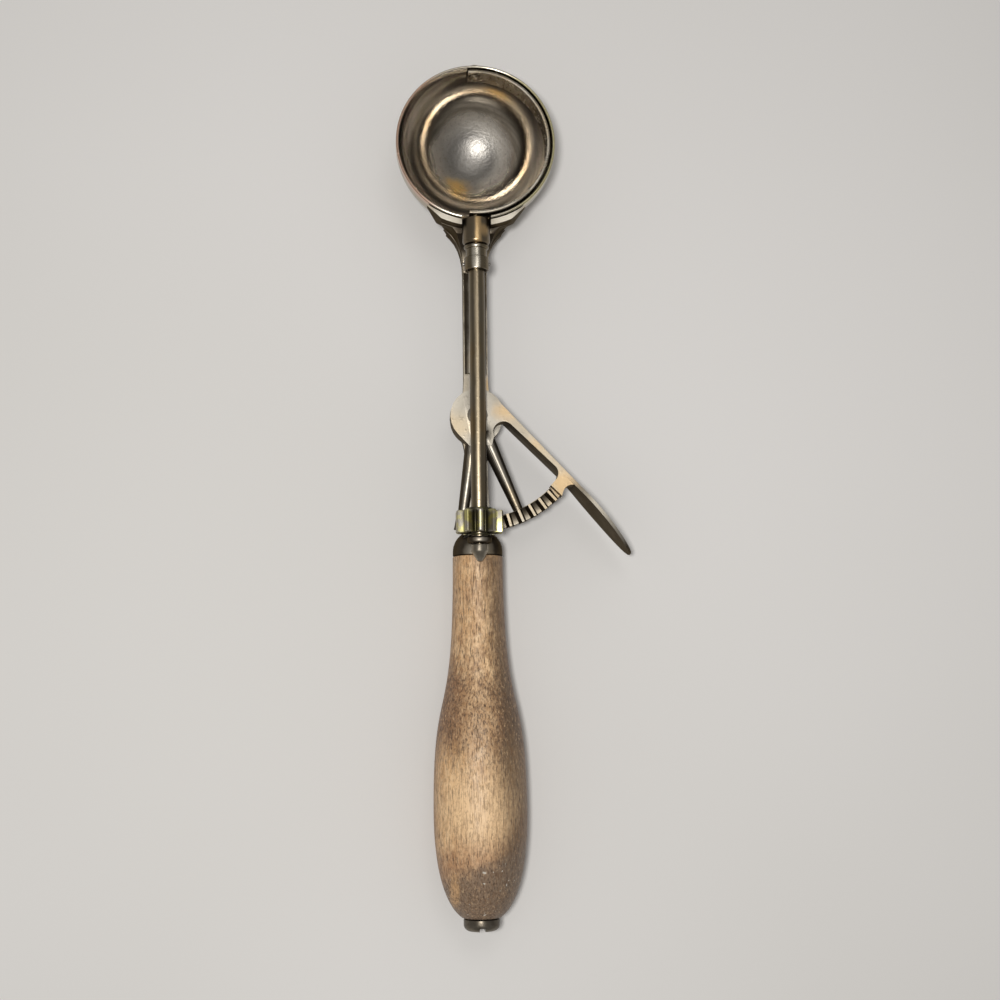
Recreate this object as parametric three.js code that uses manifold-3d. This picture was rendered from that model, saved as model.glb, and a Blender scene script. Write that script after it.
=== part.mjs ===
// Lever ice cream scoop: a thumb lever with a toothed sector turns a pinion on a long spindle,
// and the spindle swings a scraper blade round the inside of the bowl.
// Millimetres. The pieces are drawn with the spindle on the Y axis and the bowl's centre at the
// origin: +Y points at the bowl, +Z out of its mouth and +X to the lever's side.

import * as THREE from 'three';
import { mergeVertices } from 'three/addons/utils/BufferGeometryUtils.js';
import Module from 'manifold-3d';

const wasm = await Module();
wasm.setup();

const degrees = THREE.MathUtils.degToRad;

// Clearances
const seatGap = 0.3;
const sweepGap = 0.4;
const meshGap = 0.5;

// Bowl
const bowlInnerRadius = 24.4;
const bowlWall = 0.9;
const lipHeight = 3.7;

// Scraper blade and its far rivet
const bladeThickness = 1;
const bladeWidth = 8;
const bladeTabReach = 2.2;
const tenonRadius = 1.5;
const stakedHeadRadius = 2.2;
const stakedHeadThickness = 0.9;
const rivetRadius = 1.3;
const rivetHeadRadius = 2.3;
const rivetHeadThickness = 0.9;
const rivetTailRadius = 1.9;
const rivetTailThickness = 0.5;

// Spindle with its upper bearing sleeve and thrust collar
const spindleRadius = 2.5;
const sleeveRadius = 4.35;
const sleeveLength = 8.2;
const sleeveChamfer = 0.4;
const beadRadius = 3.95;
const beadLength = 1.3;
const neckRadius = 3.3;
const neckLength = 2.7;
const collarRadius = 3.95;
const collarLength = 4.1;
const collarChamfer = 0.35;
const crossPinRadius = 0.6;
const collarPinProud = 0.5;

// Gears
const gearModule = 1.25;
const pressureAngle = degrees(20);
const pinionTeeth = 10;
const pinionFace = 6.9;
const pinionToothThickness = 1.65;
const pinionHubRadius = 4;
const pinionHubLength = 0.9;
const sectorTeethInTurn = 55;
const sectorFace = 4.3;
const sectorToothThickness = 1.45;
const sectorAddendum = 0.9;
const sectorBacking = 2.3;
const sectorFirstGap = -1;
const sectorLastGap = 6;
const rimOverlap = degrees(1.3);
const rimTrim = degrees(1.2);

// Thumb lever
const pivotFromBowl = 86.8;
const hubRadius = 8.5;
const armAngle = degrees(43.2);
const armEdgeOffset = 8.1;
const armRootThickness = 2.3;
const armEndThickness = 1.4;
const armDepth = 13;
const openingRootRadius = 3.4;
const openingEndRadius = 3.1;
const rightSpokeAngle = degrees(23.7);
const leftSpokeAngle = degrees(-8.6);
const hubTip = 10.6;
const spokeRootWidth = 4.6;
const spokeEndWidth = 3.2;
const spokeShoulder = 0.3;
const padStart = 31;
const padLength = 34;
const padWidth = 18;
const padDroop = 2.2;
const padTipThickness = 0.8;
const padNotch = 3.2;

// Pivot screw and return spring
const screwRadius = 2;
const screwHeadRadius = 3.2;
const screwHeadThickness = 1.1;
const screwSlotWidth = 0.8;
const screwSlotDepth = 0.5;
const springWireRadius = 0.5;
const springCoilRadius = 4.3;
const springTurns = 1.75;
const springPitch = 1.15;
const springLegReach = 2.6;
const springLegAngle = degrees(100);

// Half a turn of the blade
const bladeTravel = Math.PI;

// Frame casting
const yokeHalfAngle = degrees(36.5);
const yokeThickness = 2;
const yokeTop = 2.9;
const yokeDepth = 13.9;
const webRun = 14;
const webHalfAngle = degrees(26);
const webMargin = degrees(1);
const shankWidth = 7.7;
const shankRise = 6;
const shankFlatRun = 14.5;
const bossRadius = 8.2;
const bossThickness = 4.2;
const bossFlare = degrees(55);
const waistWidth = 7;
const waistFromPivot = 17.5;
const footWidth = 9.6;
const bolsterRadius = 7.85;
const bolsterHeight = 6.8;
const bolsterRim = 1.4;
const bolsterCrown = degrees(50);
const lugRadius = 3.8;
const lugLength = 2.1;
const lugRound = 0.7;
const lugWebWidth = 5.2;
const castingStep = 0.25;

// Washer and tip nut below the pinion
const washerRadius = 3.6;
const washerThickness = 0.5;
const tipNutRadius = 2.65;
const tipNutLength = 5.4;
const tipNutBarrel = 2.2;
const tipNutNose = 0.9;
const stubRadius = 1.5;
const stubLength = 2.8;

// Grip
const handleLength = 110.9;
const handleNeckRadius = 7.9;
const handleBellyRadius = 14.5;
const handleBellyFromTop = 79;
const handleButtRadius = 5.9;
const handleNeckPull = 0.705;
const handleWaistPull = 0.457;
const handleBellyPull = 0.56;
const handleButtPull = 0.89;
const handleButtFullness = 0.59;
const tieRodRadius = 2.8;
const tieRodSocket = 4.4;
const endNutRadius = 5.55;
const endNutLength = 3.7;
const endNutRound = 2;
const endNutSlotWidth = 1.8;
const endNutSlotDepth = 1.2;
const endNutSocket = 1.7;

// Facets
const bowlSides = 48;
const gripSides = 32;
const roundSides = 24;
const pinSides = 12;
const wireSides = 6;
const arcSteps = 8;
const edgeSteps = 4;
const curveSteps = 7;
const coilSteps = 12;
const weldDistance = 1e-4;

// Radii that follow from the sizes above
const bowlOuterRadius = bowlInnerRadius + bowlWall;
const bladeOuterRadius = bowlInnerRadius - sweepGap;
const bladeInnerRadius = bladeOuterRadius - bladeThickness;
const pinionPitchRadius = gearModule * pinionTeeth / 2;
const pinionTipRadius = pinionPitchRadius + gearModule;
const pinionRootRadius = pinionPitchRadius - gearModule - seatGap;
const sectorPitchRadius = gearModule * sectorTeethInTurn / 2;
const sectorInnerRadius = sectorPitchRadius - sectorFace / 2;
const sectorOuterRadius = sectorPitchRadius + sectorFace / 2;
const sectorToothAngle = 2 * Math.PI / sectorTeethInTurn;
const leverTravel = bladeTravel * pinionTeeth / sectorTeethInTurn;

// Heights: the spindle's axis is at zero
const screwHeadBottom = -spindleRadius - sweepGap - screwHeadThickness;
const leverFront = screwHeadBottom - seatGap;
const toothTip = sectorAddendum - pinionPitchRadius;
const toothRoot = -pinionTipRadius - seatGap;
const leverBack = toothRoot - sectorBacking;
const bossFace = leverBack - seatGap;
const frameBack = bossFace - bossThickness;
const handleAxis = -(bolsterRadius + tipNutRadius + meshGap);

// Stations along the spindle, from the bowl down to the butt
const bladeShoulder = -(bladeOuterRadius + seatGap);
const sleeveTop = bladeShoulder - seatGap;
const sleeveBottom = sleeveTop - sleeveLength;
const collarTop = sleeveBottom - seatGap;
const collarBottom = collarTop - beadLength - neckLength - collarLength;
const pivotStation = -pivotFromBowl;
const pinionMiddle = pivotStation - sectorPitchRadius;
const pinionTop = pinionMiddle + pinionFace / 2;
const pinionBottom = pinionMiddle - pinionFace / 2;
const washerTop = pinionBottom - seatGap;
const lugTop = washerTop - washerThickness - seatGap;
const lugBottom = lugTop - lugLength;
const tipNutTop = lugBottom - seatGap;
const bolsterTop = pivotStation - sectorOuterRadius - meshGap;
const bolsterBottom = bolsterTop - bolsterHeight;
const handleTop = bolsterBottom - seatGap;
const handleEnd = handleTop - handleLength;
const endNutTop = handleEnd - seatGap;

// Materials
const nickel = { color: 0xa9a398, roughness: 0.28, metalness: 1 };
const wornNickel = { color: 0xc2b192, roughness: 0.34, metalness: 1 };
const brass = { color: 0xb29258, roughness: 0.32, metalness: 1 };
const steel = { color: 0x8d8a85, roughness: 0.35, metalness: 1 };
const wood = { color: 0xb98e5e, roughness: 0.7, metalness: 0 };

// Solids

function solidOf(geometry) {
  const bare = geometry.clone();
  bare.deleteAttribute('normal');
  bare.deleteAttribute('uv');
  const merged = mergeVertices(bare, weldDistance);
  const triangles = [];
  for (let i = 0; i < merged.index.count; i += 3) {
    const corners = [0, 1, 2].map((k) => merged.index.getX(i + k));
    if (new Set(corners).size === 3) triangles.push(...corners);
  }
  const vertProperties = new Float32Array(merged.attributes.position.array);
  const triVerts = new Uint32Array(triangles);
  return new wasm.Manifold(new wasm.Mesh({ numProp: 3, vertProperties, triVerts }));
}

function joined(...geometries) {
  return geometries.map(solidOf).reduce((body, piece) => body.add(piece));
}

function cutBy(body, ...geometries) {
  return geometries.map(solidOf).reduce((rest, tool) => rest.subtract(tool), body);
}

function pieceOf(name, body, finish) {
  const { vertProperties, triVerts } = body.getMesh();
  const geometry = new THREE.BufferGeometry();
  geometry.setAttribute('position', new THREE.BufferAttribute(vertProperties, 3));
  geometry.setIndex(new THREE.BufferAttribute(triVerts, 1));
  geometry.computeVertexNormals();
  const piece = new THREE.Mesh(geometry, new THREE.MeshStandardMaterial(finish));
  piece.name = name;
  return piece;
}

// Forms

function arc(centreX, centreY, radius, from, to, steps = arcSteps) {
  return Array.from({ length: steps + 1 }, (_, i) => {
    const angle = THREE.MathUtils.lerp(from, to, i / steps);
    return [centreX + radius * Math.cos(angle), centreY + radius * Math.sin(angle)];
  });
}

// Revolves an outline of [radius, station] points about Y; one that stays off the axis is closed
function turned(outline, sides) {
  const points = outline.map(([radius, station]) => new THREE.Vector2(Math.max(radius, 0), station));
  if (THREE.ShapeUtils.isClockWise(points)) points.reverse();
  if (points[0].x > weldDistance) points.push(points[0].clone());
  return new THREE.LatheGeometry(points, sides);
}

function turnedAboutZ(outline, sides) {
  return turned(outline, sides).rotateX(Math.PI / 2);
}

function slab(shape, low, high) {
  const settings = { depth: high - low, bevelEnabled: false, curveSegments: curveSteps };
  const solid = new THREE.ExtrudeGeometry(shape, settings);
  const { position } = solid.attributes;
  for (let i = 0; i < position.count; i += 1) {
    position.setZ(i, position.getZ(i) > 0 ? high : low);
  }
  return solid;
}

// A section drawn in X and Z, drawn out along Y
function barAlongY(section, top, bottom) {
  return slab(section, -top, -bottom).rotateX(Math.PI / 2);
}

function rodAlongY(radius, top, bottom, sides = roundSides) {
  const halfFacet = Math.PI / sides;
  const rod = new THREE.CylinderGeometry(radius, radius, top - bottom, sides, 1, false, halfFacet);
  return rod.translate(0, (top + bottom) / 2, 0);
}

function rodAlongZ(radius, low, high, sides = roundSides) {
  return rodAlongY(radius, high, low, sides).rotateX(Math.PI / 2);
}

function rodAlongX(radius, halfLength, station) {
  const rod = rodAlongY(radius, halfLength, -halfLength, pinSides);
  return rod.rotateZ(Math.PI / 2).translate(0, station, 0);
}

function block(low, high) {
  const size = new THREE.Vector3().subVectors(high, low);
  const middle = new THREE.Vector3().addVectors(low, high).multiplyScalar(0.5);
  return new THREE.BoxGeometry(size.x, size.y, size.z).translate(middle.x, middle.y, middle.z);
}

function roundBar(width, bottom, shoulder, crown) {
  const section = new THREE.Shape();
  section.moveTo(-width / 2, bottom);
  section.lineTo(width / 2, bottom);
  section.lineTo(width / 2, shoulder);
  section.absellipse(0, shoulder, width / 2, crown - shoulder, 0, Math.PI, false, 0);
  return section;
}

// Closes the right half of an outline, drawn from top to bottom, with its mirror image
function mirroredShape(path) {
  const right = path.getPoints(curveSteps);
  const left = right.filter((point) => point.x > weldDistance);
  const mirrored = left.map((point) => new THREE.Vector2(-point.x, point.y)).reverse();
  return new THREE.Shape([...right, ...mirrored]);
}

// Directions are counted from the line towards the grip, positive to the right
function gripPoint(angle, radius) {
  return new THREE.Vector2(Math.sin(angle), -Math.cos(angle)).multiplyScalar(radius);
}

// The same direction in the lever's own drawing, where the arm runs along X
function leverPoint(angle, radius) {
  const turn = angle - armAngle;
  return new THREE.Vector2(Math.cos(turn), Math.sin(turn)).multiplyScalar(radius);
}

function swungToLever(geometry, angle) {
  return geometry.rotateZ(angle - armAngle + Math.PI / 2);
}

// Bowl and scraper

function bowl() {
  const rimRadius = bowlWall / 2;
  const rimMiddle = bowlInnerRadius + rimRadius;
  const quarter = Math.PI / 2;
  const shell = turnedAboutZ([
    ...arc(0, 0, bowlInnerRadius, -quarter, 0),
    ...arc(rimMiddle, lipHeight - rimRadius, rimRadius, Math.PI, 0, edgeSteps),
    ...arc(0, 0, bowlOuterRadius, 0, -quarter),
  ], bowlSides);
  const notchLow = new THREE.Vector3(-sleeveRadius, -bowlOuterRadius - bowlWall, 0);
  const notchHigh = new THREE.Vector3(sleeveRadius, -bladeInnerRadius, 2 * lipHeight);
  return cutBy(
    solidOf(shell),
    rodAlongY(sleeveRadius + seatGap, -bladeInnerRadius, -bowlOuterRadius - bowlWall),
    block(notchLow, notchHigh),
    rodAlongY(rivetRadius + seatGap, bowlOuterRadius + bowlWall, bladeInnerRadius, pinSides),
  );
}

function scraperBlade() {
  const half = bladeWidth / 2;
  const outerLean = Math.asin(half / bladeOuterRadius);
  const innerLean = Math.asin(half / bladeInnerRadius);
  const hoop = turnedAboutZ([
    ...arc(0, 0, bladeOuterRadius, -outerLean, outerLean, edgeSteps),
    ...arc(0, 0, bladeInnerRadius, innerLean, -innerLean, edgeSteps),
  ], bowlSides);
  const reach = bowlOuterRadius;
  const kept = block(
    new THREE.Vector3(-bladeTabReach, -reach, -reach),
    new THREE.Vector3(reach, reach, reach),
  );
  const halfHoop = solidOf(hoop).intersect(solidOf(kept));
  return cutBy(
    halfHoop,
    rodAlongY(tenonRadius + seatGap, 0, -reach, pinSides),
    rodAlongY(rivetRadius + seatGap, reach, 0, pinSides),
  );
}

function bladeRivet() {
  const innerHead = bladeInnerRadius - seatGap;
  const outerHead = bowlOuterRadius + seatGap;
  return solidOf(turned([
    [0, innerHead - rivetTailThickness],
    [rivetTailRadius, innerHead - rivetTailThickness / 2],
    [rivetTailRadius, innerHead],
    [rivetRadius, innerHead],
    [rivetRadius, outerHead],
    [rivetHeadRadius, outerHead],
    [rivetHeadRadius, outerHead + rivetHeadThickness / 2],
    [0, outerHead + rivetHeadThickness],
  ], pinSides));
}

// Spindle and what it carries

function spindle() {
  const headBottom = -(bladeInnerRadius - seatGap);
  const headTop = headBottom + stakedHeadThickness;
  const stubEnd = lugBottom - stubLength;
  const rod = turned([
    [0, headTop],
    [stakedHeadRadius, headTop - stakedHeadThickness / 2],
    [stakedHeadRadius, headBottom],
    [tenonRadius, headBottom],
    [tenonRadius, bladeShoulder],
    [spindleRadius, bladeShoulder],
    [spindleRadius, lugBottom],
    [stubRadius, lugBottom],
    [stubRadius, stubEnd],
    [0, stubEnd],
  ], roundSides);
  const pinHole = crossPinRadius + seatGap;
  const collarMiddle = collarBottom + collarLength / 2;
  return cutBy(
    solidOf(rod),
    rodAlongX(pinHole, 2 * spindleRadius, collarMiddle),
    rodAlongX(pinHole, 2 * spindleRadius, pinionMiddle),
  );
}

function bearingSleeve() {
  const bore = spindleRadius + seatGap;
  return solidOf(turned([
    [bore, sleeveTop],
    [sleeveRadius, sleeveTop],
    [sleeveRadius, sleeveBottom + 2 * sleeveChamfer],
    [sleeveRadius - sleeveChamfer, sleeveBottom],
    [bore, sleeveBottom],
  ], roundSides));
}

function thrustCollar() {
  const bore = spindleRadius + seatGap;
  const beadBottom = collarTop - beadLength;
  const shoulder = beadBottom - neckLength;
  const ring = turned([
    [bore, collarTop],
    [neckRadius, collarTop],
    [beadRadius, collarTop - beadLength / 3],
    [beadRadius, beadBottom + beadLength / 3],
    [neckRadius, beadBottom],
    [neckRadius, shoulder],
    [collarRadius - collarChamfer, shoulder],
    [collarRadius, shoulder - collarChamfer],
    [collarRadius, collarBottom + collarChamfer],
    [collarRadius - collarChamfer, collarBottom],
    [bore, collarBottom],
  ], roundSides);
  const pinHole = rodAlongX(crossPinRadius + seatGap, 2 * collarRadius, collarBottom + collarLength / 2);
  return cutBy(solidOf(ring), pinHole);
}

function collarPin() {
  const middle = collarBottom + collarLength / 2;
  return solidOf(rodAlongX(crossPinRadius, collarRadius + collarPinProud, middle));
}

function tipNut() {
  const socketRadius = stubRadius + seatGap;
  const socketEnd = lugBottom - stubLength - seatGap;
  const end = tipNutTop - tipNutLength;
  return solidOf(turned([
    [0, socketEnd],
    [socketRadius, socketEnd],
    [socketRadius, tipNutTop],
    [tipNutRadius, tipNutTop],
    [tipNutRadius, tipNutTop - tipNutBarrel],
    [tipNutNose, end + tipNutNose / 2],
    [0, end],
  ], roundSides));
}

function thrustWasher() {
  const bore = spindleRadius + seatGap;
  return solidOf(turned([
    [bore, washerTop],
    [washerRadius, washerTop],
    [washerRadius, washerTop - washerThickness],
    [bore, washerTop - washerThickness],
  ], roundSides));
}

// Gears

function involute(angle) {
  return Math.tan(angle) - angle;
}

// Half the angle that a pinion tooth takes up at a radius on its involute flank
function toothHalfAngle(radius) {
  const baseRadius = pinionPitchRadius * Math.cos(pressureAngle);
  const flankAngle = Math.acos(Math.min(1, baseRadius / radius));
  const atPitch = pinionToothThickness / (2 * pinionPitchRadius);
  return atPitch + involute(pressureAngle) - involute(flankAngle);
}

function pinionOutline() {
  const baseRadius = pinionPitchRadius * Math.cos(pressureAngle);
  const pitchAngle = 2 * Math.PI / pinionTeeth;
  const flankSteps = [0, 1, 2, 3];
  const radii = flankSteps.map((step) => THREE.MathUtils.lerp(baseRadius, pinionTipRadius, step / 3));
  const gulletHalfAngle = pitchAngle / 2 - toothHalfAngle(baseRadius);
  const gulletControl = 2 * pinionRootRadius - baseRadius * Math.cos(gulletHalfAngle);
  const at = (angle, radius) => [radius * Math.cos(angle), radius * Math.sin(angle)];
  const outline = new THREE.Shape();
  for (let tooth = 0; tooth < pinionTeeth; tooth += 1) {
    const middle = Math.PI / 2 + tooth * pitchAngle;
    const rising = radii.map((radius) => at(middle - toothHalfAngle(radius), radius));
    const falling = radii.map((radius) => at(middle + toothHalfAngle(radius), radius)).reverse();
    const flanks = [...rising, ...falling];
    if (tooth === 0) outline.moveTo(...flanks[0]);
    flanks.forEach((point) => outline.lineTo(...point));
    const nextStart = at(middle + pitchAngle - toothHalfAngle(baseRadius), baseRadius);
    outline.quadraticCurveTo(...at(middle + pitchAngle / 2, gulletControl), ...nextStart);
  }
  return outline;
}

function pinion() {
  const toothed = barAlongY(pinionOutline(), pinionTop, pinionBottom);
  const hub = rodAlongY(pinionHubRadius, pinionTop + pinionHubLength, pinionMiddle);
  const above = pinionTop + 2 * pinionHubLength;
  const bore = rodAlongY(spindleRadius + seatGap, above, pinionBottom - pinionHubLength);
  const pinHole = rodAlongX(crossPinRadius + seatGap, pinionTipRadius, pinionMiddle);
  return cutBy(joined(toothed, hub), bore, pinHole);
}

function pinionPin() {
  return solidOf(rodAlongX(crossPinRadius, pinionRootRadius - seatGap, pinionMiddle));
}

// A straight tooth on the sector's front face, thinner towards its tip
function sectorTooth(angle) {
  const slope = Math.tan(pressureAngle);
  const sunk = toothRoot - sectorBacking / 2;
  const halfAt = (height) => sectorToothThickness / 2 - (height + pinionPitchRadius) * slope;
  const section = new THREE.Shape([
    new THREE.Vector2(-halfAt(toothRoot), sunk),
    new THREE.Vector2(halfAt(toothRoot), sunk),
    new THREE.Vector2(halfAt(toothRoot), toothRoot),
    new THREE.Vector2(halfAt(toothTip), toothTip),
    new THREE.Vector2(-halfAt(toothTip), toothTip),
    new THREE.Vector2(-halfAt(toothRoot), toothRoot),
  ]);
  const tooth = barAlongY(section, -sectorInnerRadius - castingStep, -sectorOuterRadius);
  return swungToLever(tooth, angle);
}

// Thumb lever, drawn about its pivot with the arm's outer face square to Y

// The opening between arm and right spoke has two round corners: one beside the hub, touching the
// spoke, and one at the sector's end, touching the end block's inner edge
function openingCorners() {
  const besideSpoke = leverPoint(rightSpokeAngle + Math.PI / 2, 1);
  const rootOffset = armEdgeOffset - armRootThickness - openingRootRadius;
  const spokeDistance = spokeRootWidth / 2 - castingStep + openingRootRadius;
  const rootRun = (spokeDistance - rootOffset * besideSpoke.y) / besideSpoke.x;
  const endOffset = armEdgeOffset - armEndThickness - openingEndRadius;
  const endReach = sectorInnerRadius - castingStep - openingEndRadius;
  const endRun = Math.sqrt(endReach ** 2 - endOffset ** 2);
  return { root: new THREE.Vector2(rootRun, rootOffset), end: new THREE.Vector2(endRun, endOffset) };
}

function leverPlateOutline() {
  const { root, end } = openingCorners();
  const between = new THREE.Vector2().subVectors(end, root);
  const taper = Math.acos((openingRootRadius - openingEndRadius) / between.length());
  const innerEdge = between.angle() + taper;
  const spokeSide = rightSpokeAngle - armAngle - Math.PI / 2;
  const blockAngle = (sectorLastGap + 1) * sectorToothAngle;
  const blockFoot = leverPoint(blockAngle, sectorOuterRadius + castingStep);
  const notchOffset = armEdgeOffset - armEndThickness;
  const hubStart = Math.acos(Math.sqrt(hubRadius ** 2 - armEdgeOffset ** 2) / hubRadius);
  const hubEnd = leftSpokeAngle - Math.acos(hubRadius / hubTip) - armAngle;
  const blunt = Math.atan(castingStep / hubTip);
  const tipPoints = (angle) => [angle - blunt, angle + blunt].map((side) => leverPoint(side, hubTip));
  const valley = leverPoint((leftSpokeAngle + rightSpokeAngle) / 2, hubRadius + 2 * castingStep);
  const outline = new THREE.Shape();
  outline.absarc(root.x, root.y, openingRootRadius, spokeSide, innerEdge, true);
  outline.absarc(end.x, end.y, openingEndRadius, innerEdge, end.angle(), true);
  outline.absarc(0, 0, sectorInnerRadius - castingStep, end.angle(), blockAngle - armAngle, true);
  outline.lineTo(blockFoot.x, blockFoot.y);
  outline.quadraticCurveTo(
    padStart + padNotch, notchOffset - padNotch / 2,
    padStart + 2 * padNotch, notchOffset + armEndThickness / 2,
  );
  outline.lineTo(padStart, armEdgeOffset);
  outline.absarc(0, 0, hubRadius, hubStart, hubEnd + 2 * Math.PI, false);
  const underside = [...tipPoints(leftSpokeAngle), valley, ...tipPoints(rightSpokeAngle)];
  underside.forEach((point) => outline.lineTo(point.x, point.y));
  return outline;
}

// The arm is a deep strip and the pad a leaf at its end: a bent profile seen from the front, kept
// inside an outline seen square to the strip
function armAndPad() {
  const rootInner = armEdgeOffset - armRootThickness + castingStep;
  const endInner = armEdgeOffset - armEndThickness + castingStep;
  const start = Math.sqrt((bossRadius + sweepGap) ** 2 - rootInner ** 2);
  const padEnd = padStart + padLength;
  const padMiddle = padStart + padLength / 2;
  const tipEdge = armEdgeOffset - padDroop;
  const profile = new THREE.Shape();
  profile.moveTo(start, armEdgeOffset);
  profile.lineTo(padStart, armEdgeOffset);
  profile.quadraticCurveTo(padMiddle, armEdgeOffset, padEnd, tipEdge);
  profile.lineTo(padEnd, tipEdge - padTipThickness);
  profile.quadraticCurveTo(padMiddle, endInner, padStart, endInner);
  profile.lineTo(start, rootInner);
  const depthMiddle = leverFront - armDepth / 2;
  const outline = new THREE.Path();
  outline.moveTo(armDepth / 2, start - castingStep);
  outline.lineTo(armDepth / 2, padStart);
  outline.bezierCurveTo(
    armDepth / 2, padMiddle - padLength / 4,
    padWidth / 2, padMiddle - padLength / 4,
    padWidth / 2, padMiddle,
  );
  outline.bezierCurveTo(padWidth / 2, padEnd - padLength / 5, padWidth / 4, padEnd, 0, padEnd);
  const leaf = slab(mirroredShape(outline), -2 * armEdgeOffset, 2 * armEdgeOffset);
  leaf.rotateZ(-Math.PI / 2).rotateX(Math.PI / 2).translate(0, 0, depthMiddle);
  const strip = slab(profile, depthMiddle - padWidth, depthMiddle + padWidth);
  return solidOf(strip).intersect(solidOf(leaf));
}

// A half-round spoke narrows and falls away from the hub, so that it passes under the pinion
function spoke(angle) {
  const start = hubRadius - spokeRootWidth / 2 - 2 * castingStep;
  const reach = sectorInnerRadius + sectorFace / 4;
  const underPinion = sectorPitchRadius - pinionFace / 2 - meshGap;
  const bar = barAlongY(roundBar(1, 0, spokeShoulder, 1), -start, -reach);
  const { position } = bar.attributes;
  for (let i = 0; i < position.count; i += 1) {
    const share = THREE.MathUtils.inverseLerp(hubTip, underPinion, -position.getY(i));
    const width = THREE.MathUtils.lerp(spokeRootWidth, spokeEndWidth, share);
    const crown = THREE.MathUtils.lerp(leverFront, toothRoot, share) - castingStep;
    position.setX(i, position.getX(i) * width);
    position.setZ(i, THREE.MathUtils.lerp(leverBack + castingStep, crown, position.getZ(i)));
  }
  return solidOf(swungToLever(bar, angle));
}

function sectorRim() {
  const first = (sectorFirstGap - 1) * sectorToothAngle + rimTrim - armAngle;
  const last = (sectorLastGap + 1) * sectorToothAngle + rimOverlap - armAngle;
  const rim = new THREE.Shape();
  rim.absarc(0, 0, sectorOuterRadius - castingStep, first, last, false);
  rim.absarc(0, 0, sectorInnerRadius, last, first, true);
  return slab(rim, leverBack, toothRoot);
}

function thumbLever() {
  let body = solidOf(slab(leverPlateOutline(), leverBack, leverFront));
  body = body.add(armAndPad()).add(solidOf(sectorRim()));
  body = body.add(spoke(leftSpokeAngle)).add(spoke(rightSpokeAngle));
  for (let gap = sectorFirstGap; gap <= sectorLastGap + 1; gap += 1) {
    body = body.add(solidOf(sectorTooth((gap - 0.5) * sectorToothAngle)));
  }
  const springRoof = springBottom() + springTurns * springPitch + springWireRadius + seatGap;
  const recess = slab(springRecess(), leverBack - seatGap, springRoof);
  const bore = rodAlongZ(screwRadius + seatGap, leverBack - seatGap, leverFront + seatGap);
  return cutBy(body, recess, bore);
}

// Pivot screw and return spring, also drawn about the pivot

function pivotScrew() {
  const head = rodAlongZ(screwHeadRadius, screwHeadBottom, screwHeadBottom + screwHeadThickness);
  const shank = rodAlongZ(screwRadius, frameBack, screwHeadBottom + screwSlotDepth);
  const headTop = screwHeadBottom + screwHeadThickness;
  const slot = block(
    new THREE.Vector3(-screwSlotWidth / 2, -2 * screwHeadRadius, headTop - screwSlotDepth),
    new THREE.Vector3(screwSlotWidth / 2, 2 * screwHeadRadius, headTop + screwSlotDepth),
  );
  return cutBy(joined(head, shank), slot);
}

function springBottom() {
  return leverBack + springWireRadius;
}

// A round recess over the coil, with a side pocket that leaves the leg free over the lever's travel
function springRecess() {
  const play = Math.atan((springWireRadius + seatGap) / springCoilRadius);
  const coil = springCoilRadius + springWireRadius + seatGap;
  const rest = springLegAngle - armAngle + Math.PI / 2;
  const recess = new THREE.Shape();
  recess.absarc(0, 0, coil + springLegReach, rest - play, rest + leverTravel + play, false);
  recess.absarc(0, 0, coil, rest + leverTravel + play, rest - play, false);
  return recess;
}

function leverSpring() {
  const bottom = springBottom();
  const sweep = 2 * Math.PI * springTurns;
  const startAngle = springLegAngle - sweep;
  const at = (angle, radius, height) => {
    return new THREE.Vector3(radius * Math.cos(angle), radius * Math.sin(angle), height);
  };
  const points = [
    at(startAngle, springCoilRadius, bossFace - bossThickness / 2),
    at(startAngle, springCoilRadius, bottom - springWireRadius),
  ];
  const stations = Math.round(springTurns * coilSteps);
  for (let i = 1; i < stations; i += 1) {
    const share = i / stations;
    const height = bottom + springTurns * springPitch * share;
    points.push(at(startAngle + sweep * share, springCoilRadius, height));
  }
  const top = bottom + springTurns * springPitch;
  points.push(at(springLegAngle, springCoilRadius + springWireRadius, top));
  points.push(at(springLegAngle, springCoilRadius + springLegReach, top));
  const section = new THREE.Shape(arc(0, 0, springWireRadius, 0, 2 * Math.PI, wireSides)
    .slice(1).map(([x, y]) => new THREE.Vector2(x, y)));
  const path = new THREE.CatmullRomCurve3(points);
  const settings = { steps: 2 * points.length, extrudePath: path };
  return solidOf(new THREE.ExtrudeGeometry(section, settings));
}

// Frame casting

function yoke() {
  const inner = bowlOuterRadius + seatGap;
  const outer = inner + yokeThickness;
  const low = yokeTop - yokeDepth;
  const band = turnedAboutZ([
    ...arc(0, 0, inner, Math.asin(low / inner), 0, edgeSteps),
    [inner, yokeTop],
    [outer, yokeTop],
    ...arc(0, 0, outer, 0, Math.asin(low / outer), edgeSteps),
  ], 2 * bowlSides);
  const reach = 2 * outer;
  const left = gripPoint(-yokeHalfAngle, reach);
  const right = gripPoint(yokeHalfAngle, reach);
  const wedge = slab(new THREE.Shape([new THREE.Vector2(), left, right]), 2 * low, reach);
  return solidOf(band).intersect(solidOf(wedge));
}

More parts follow.
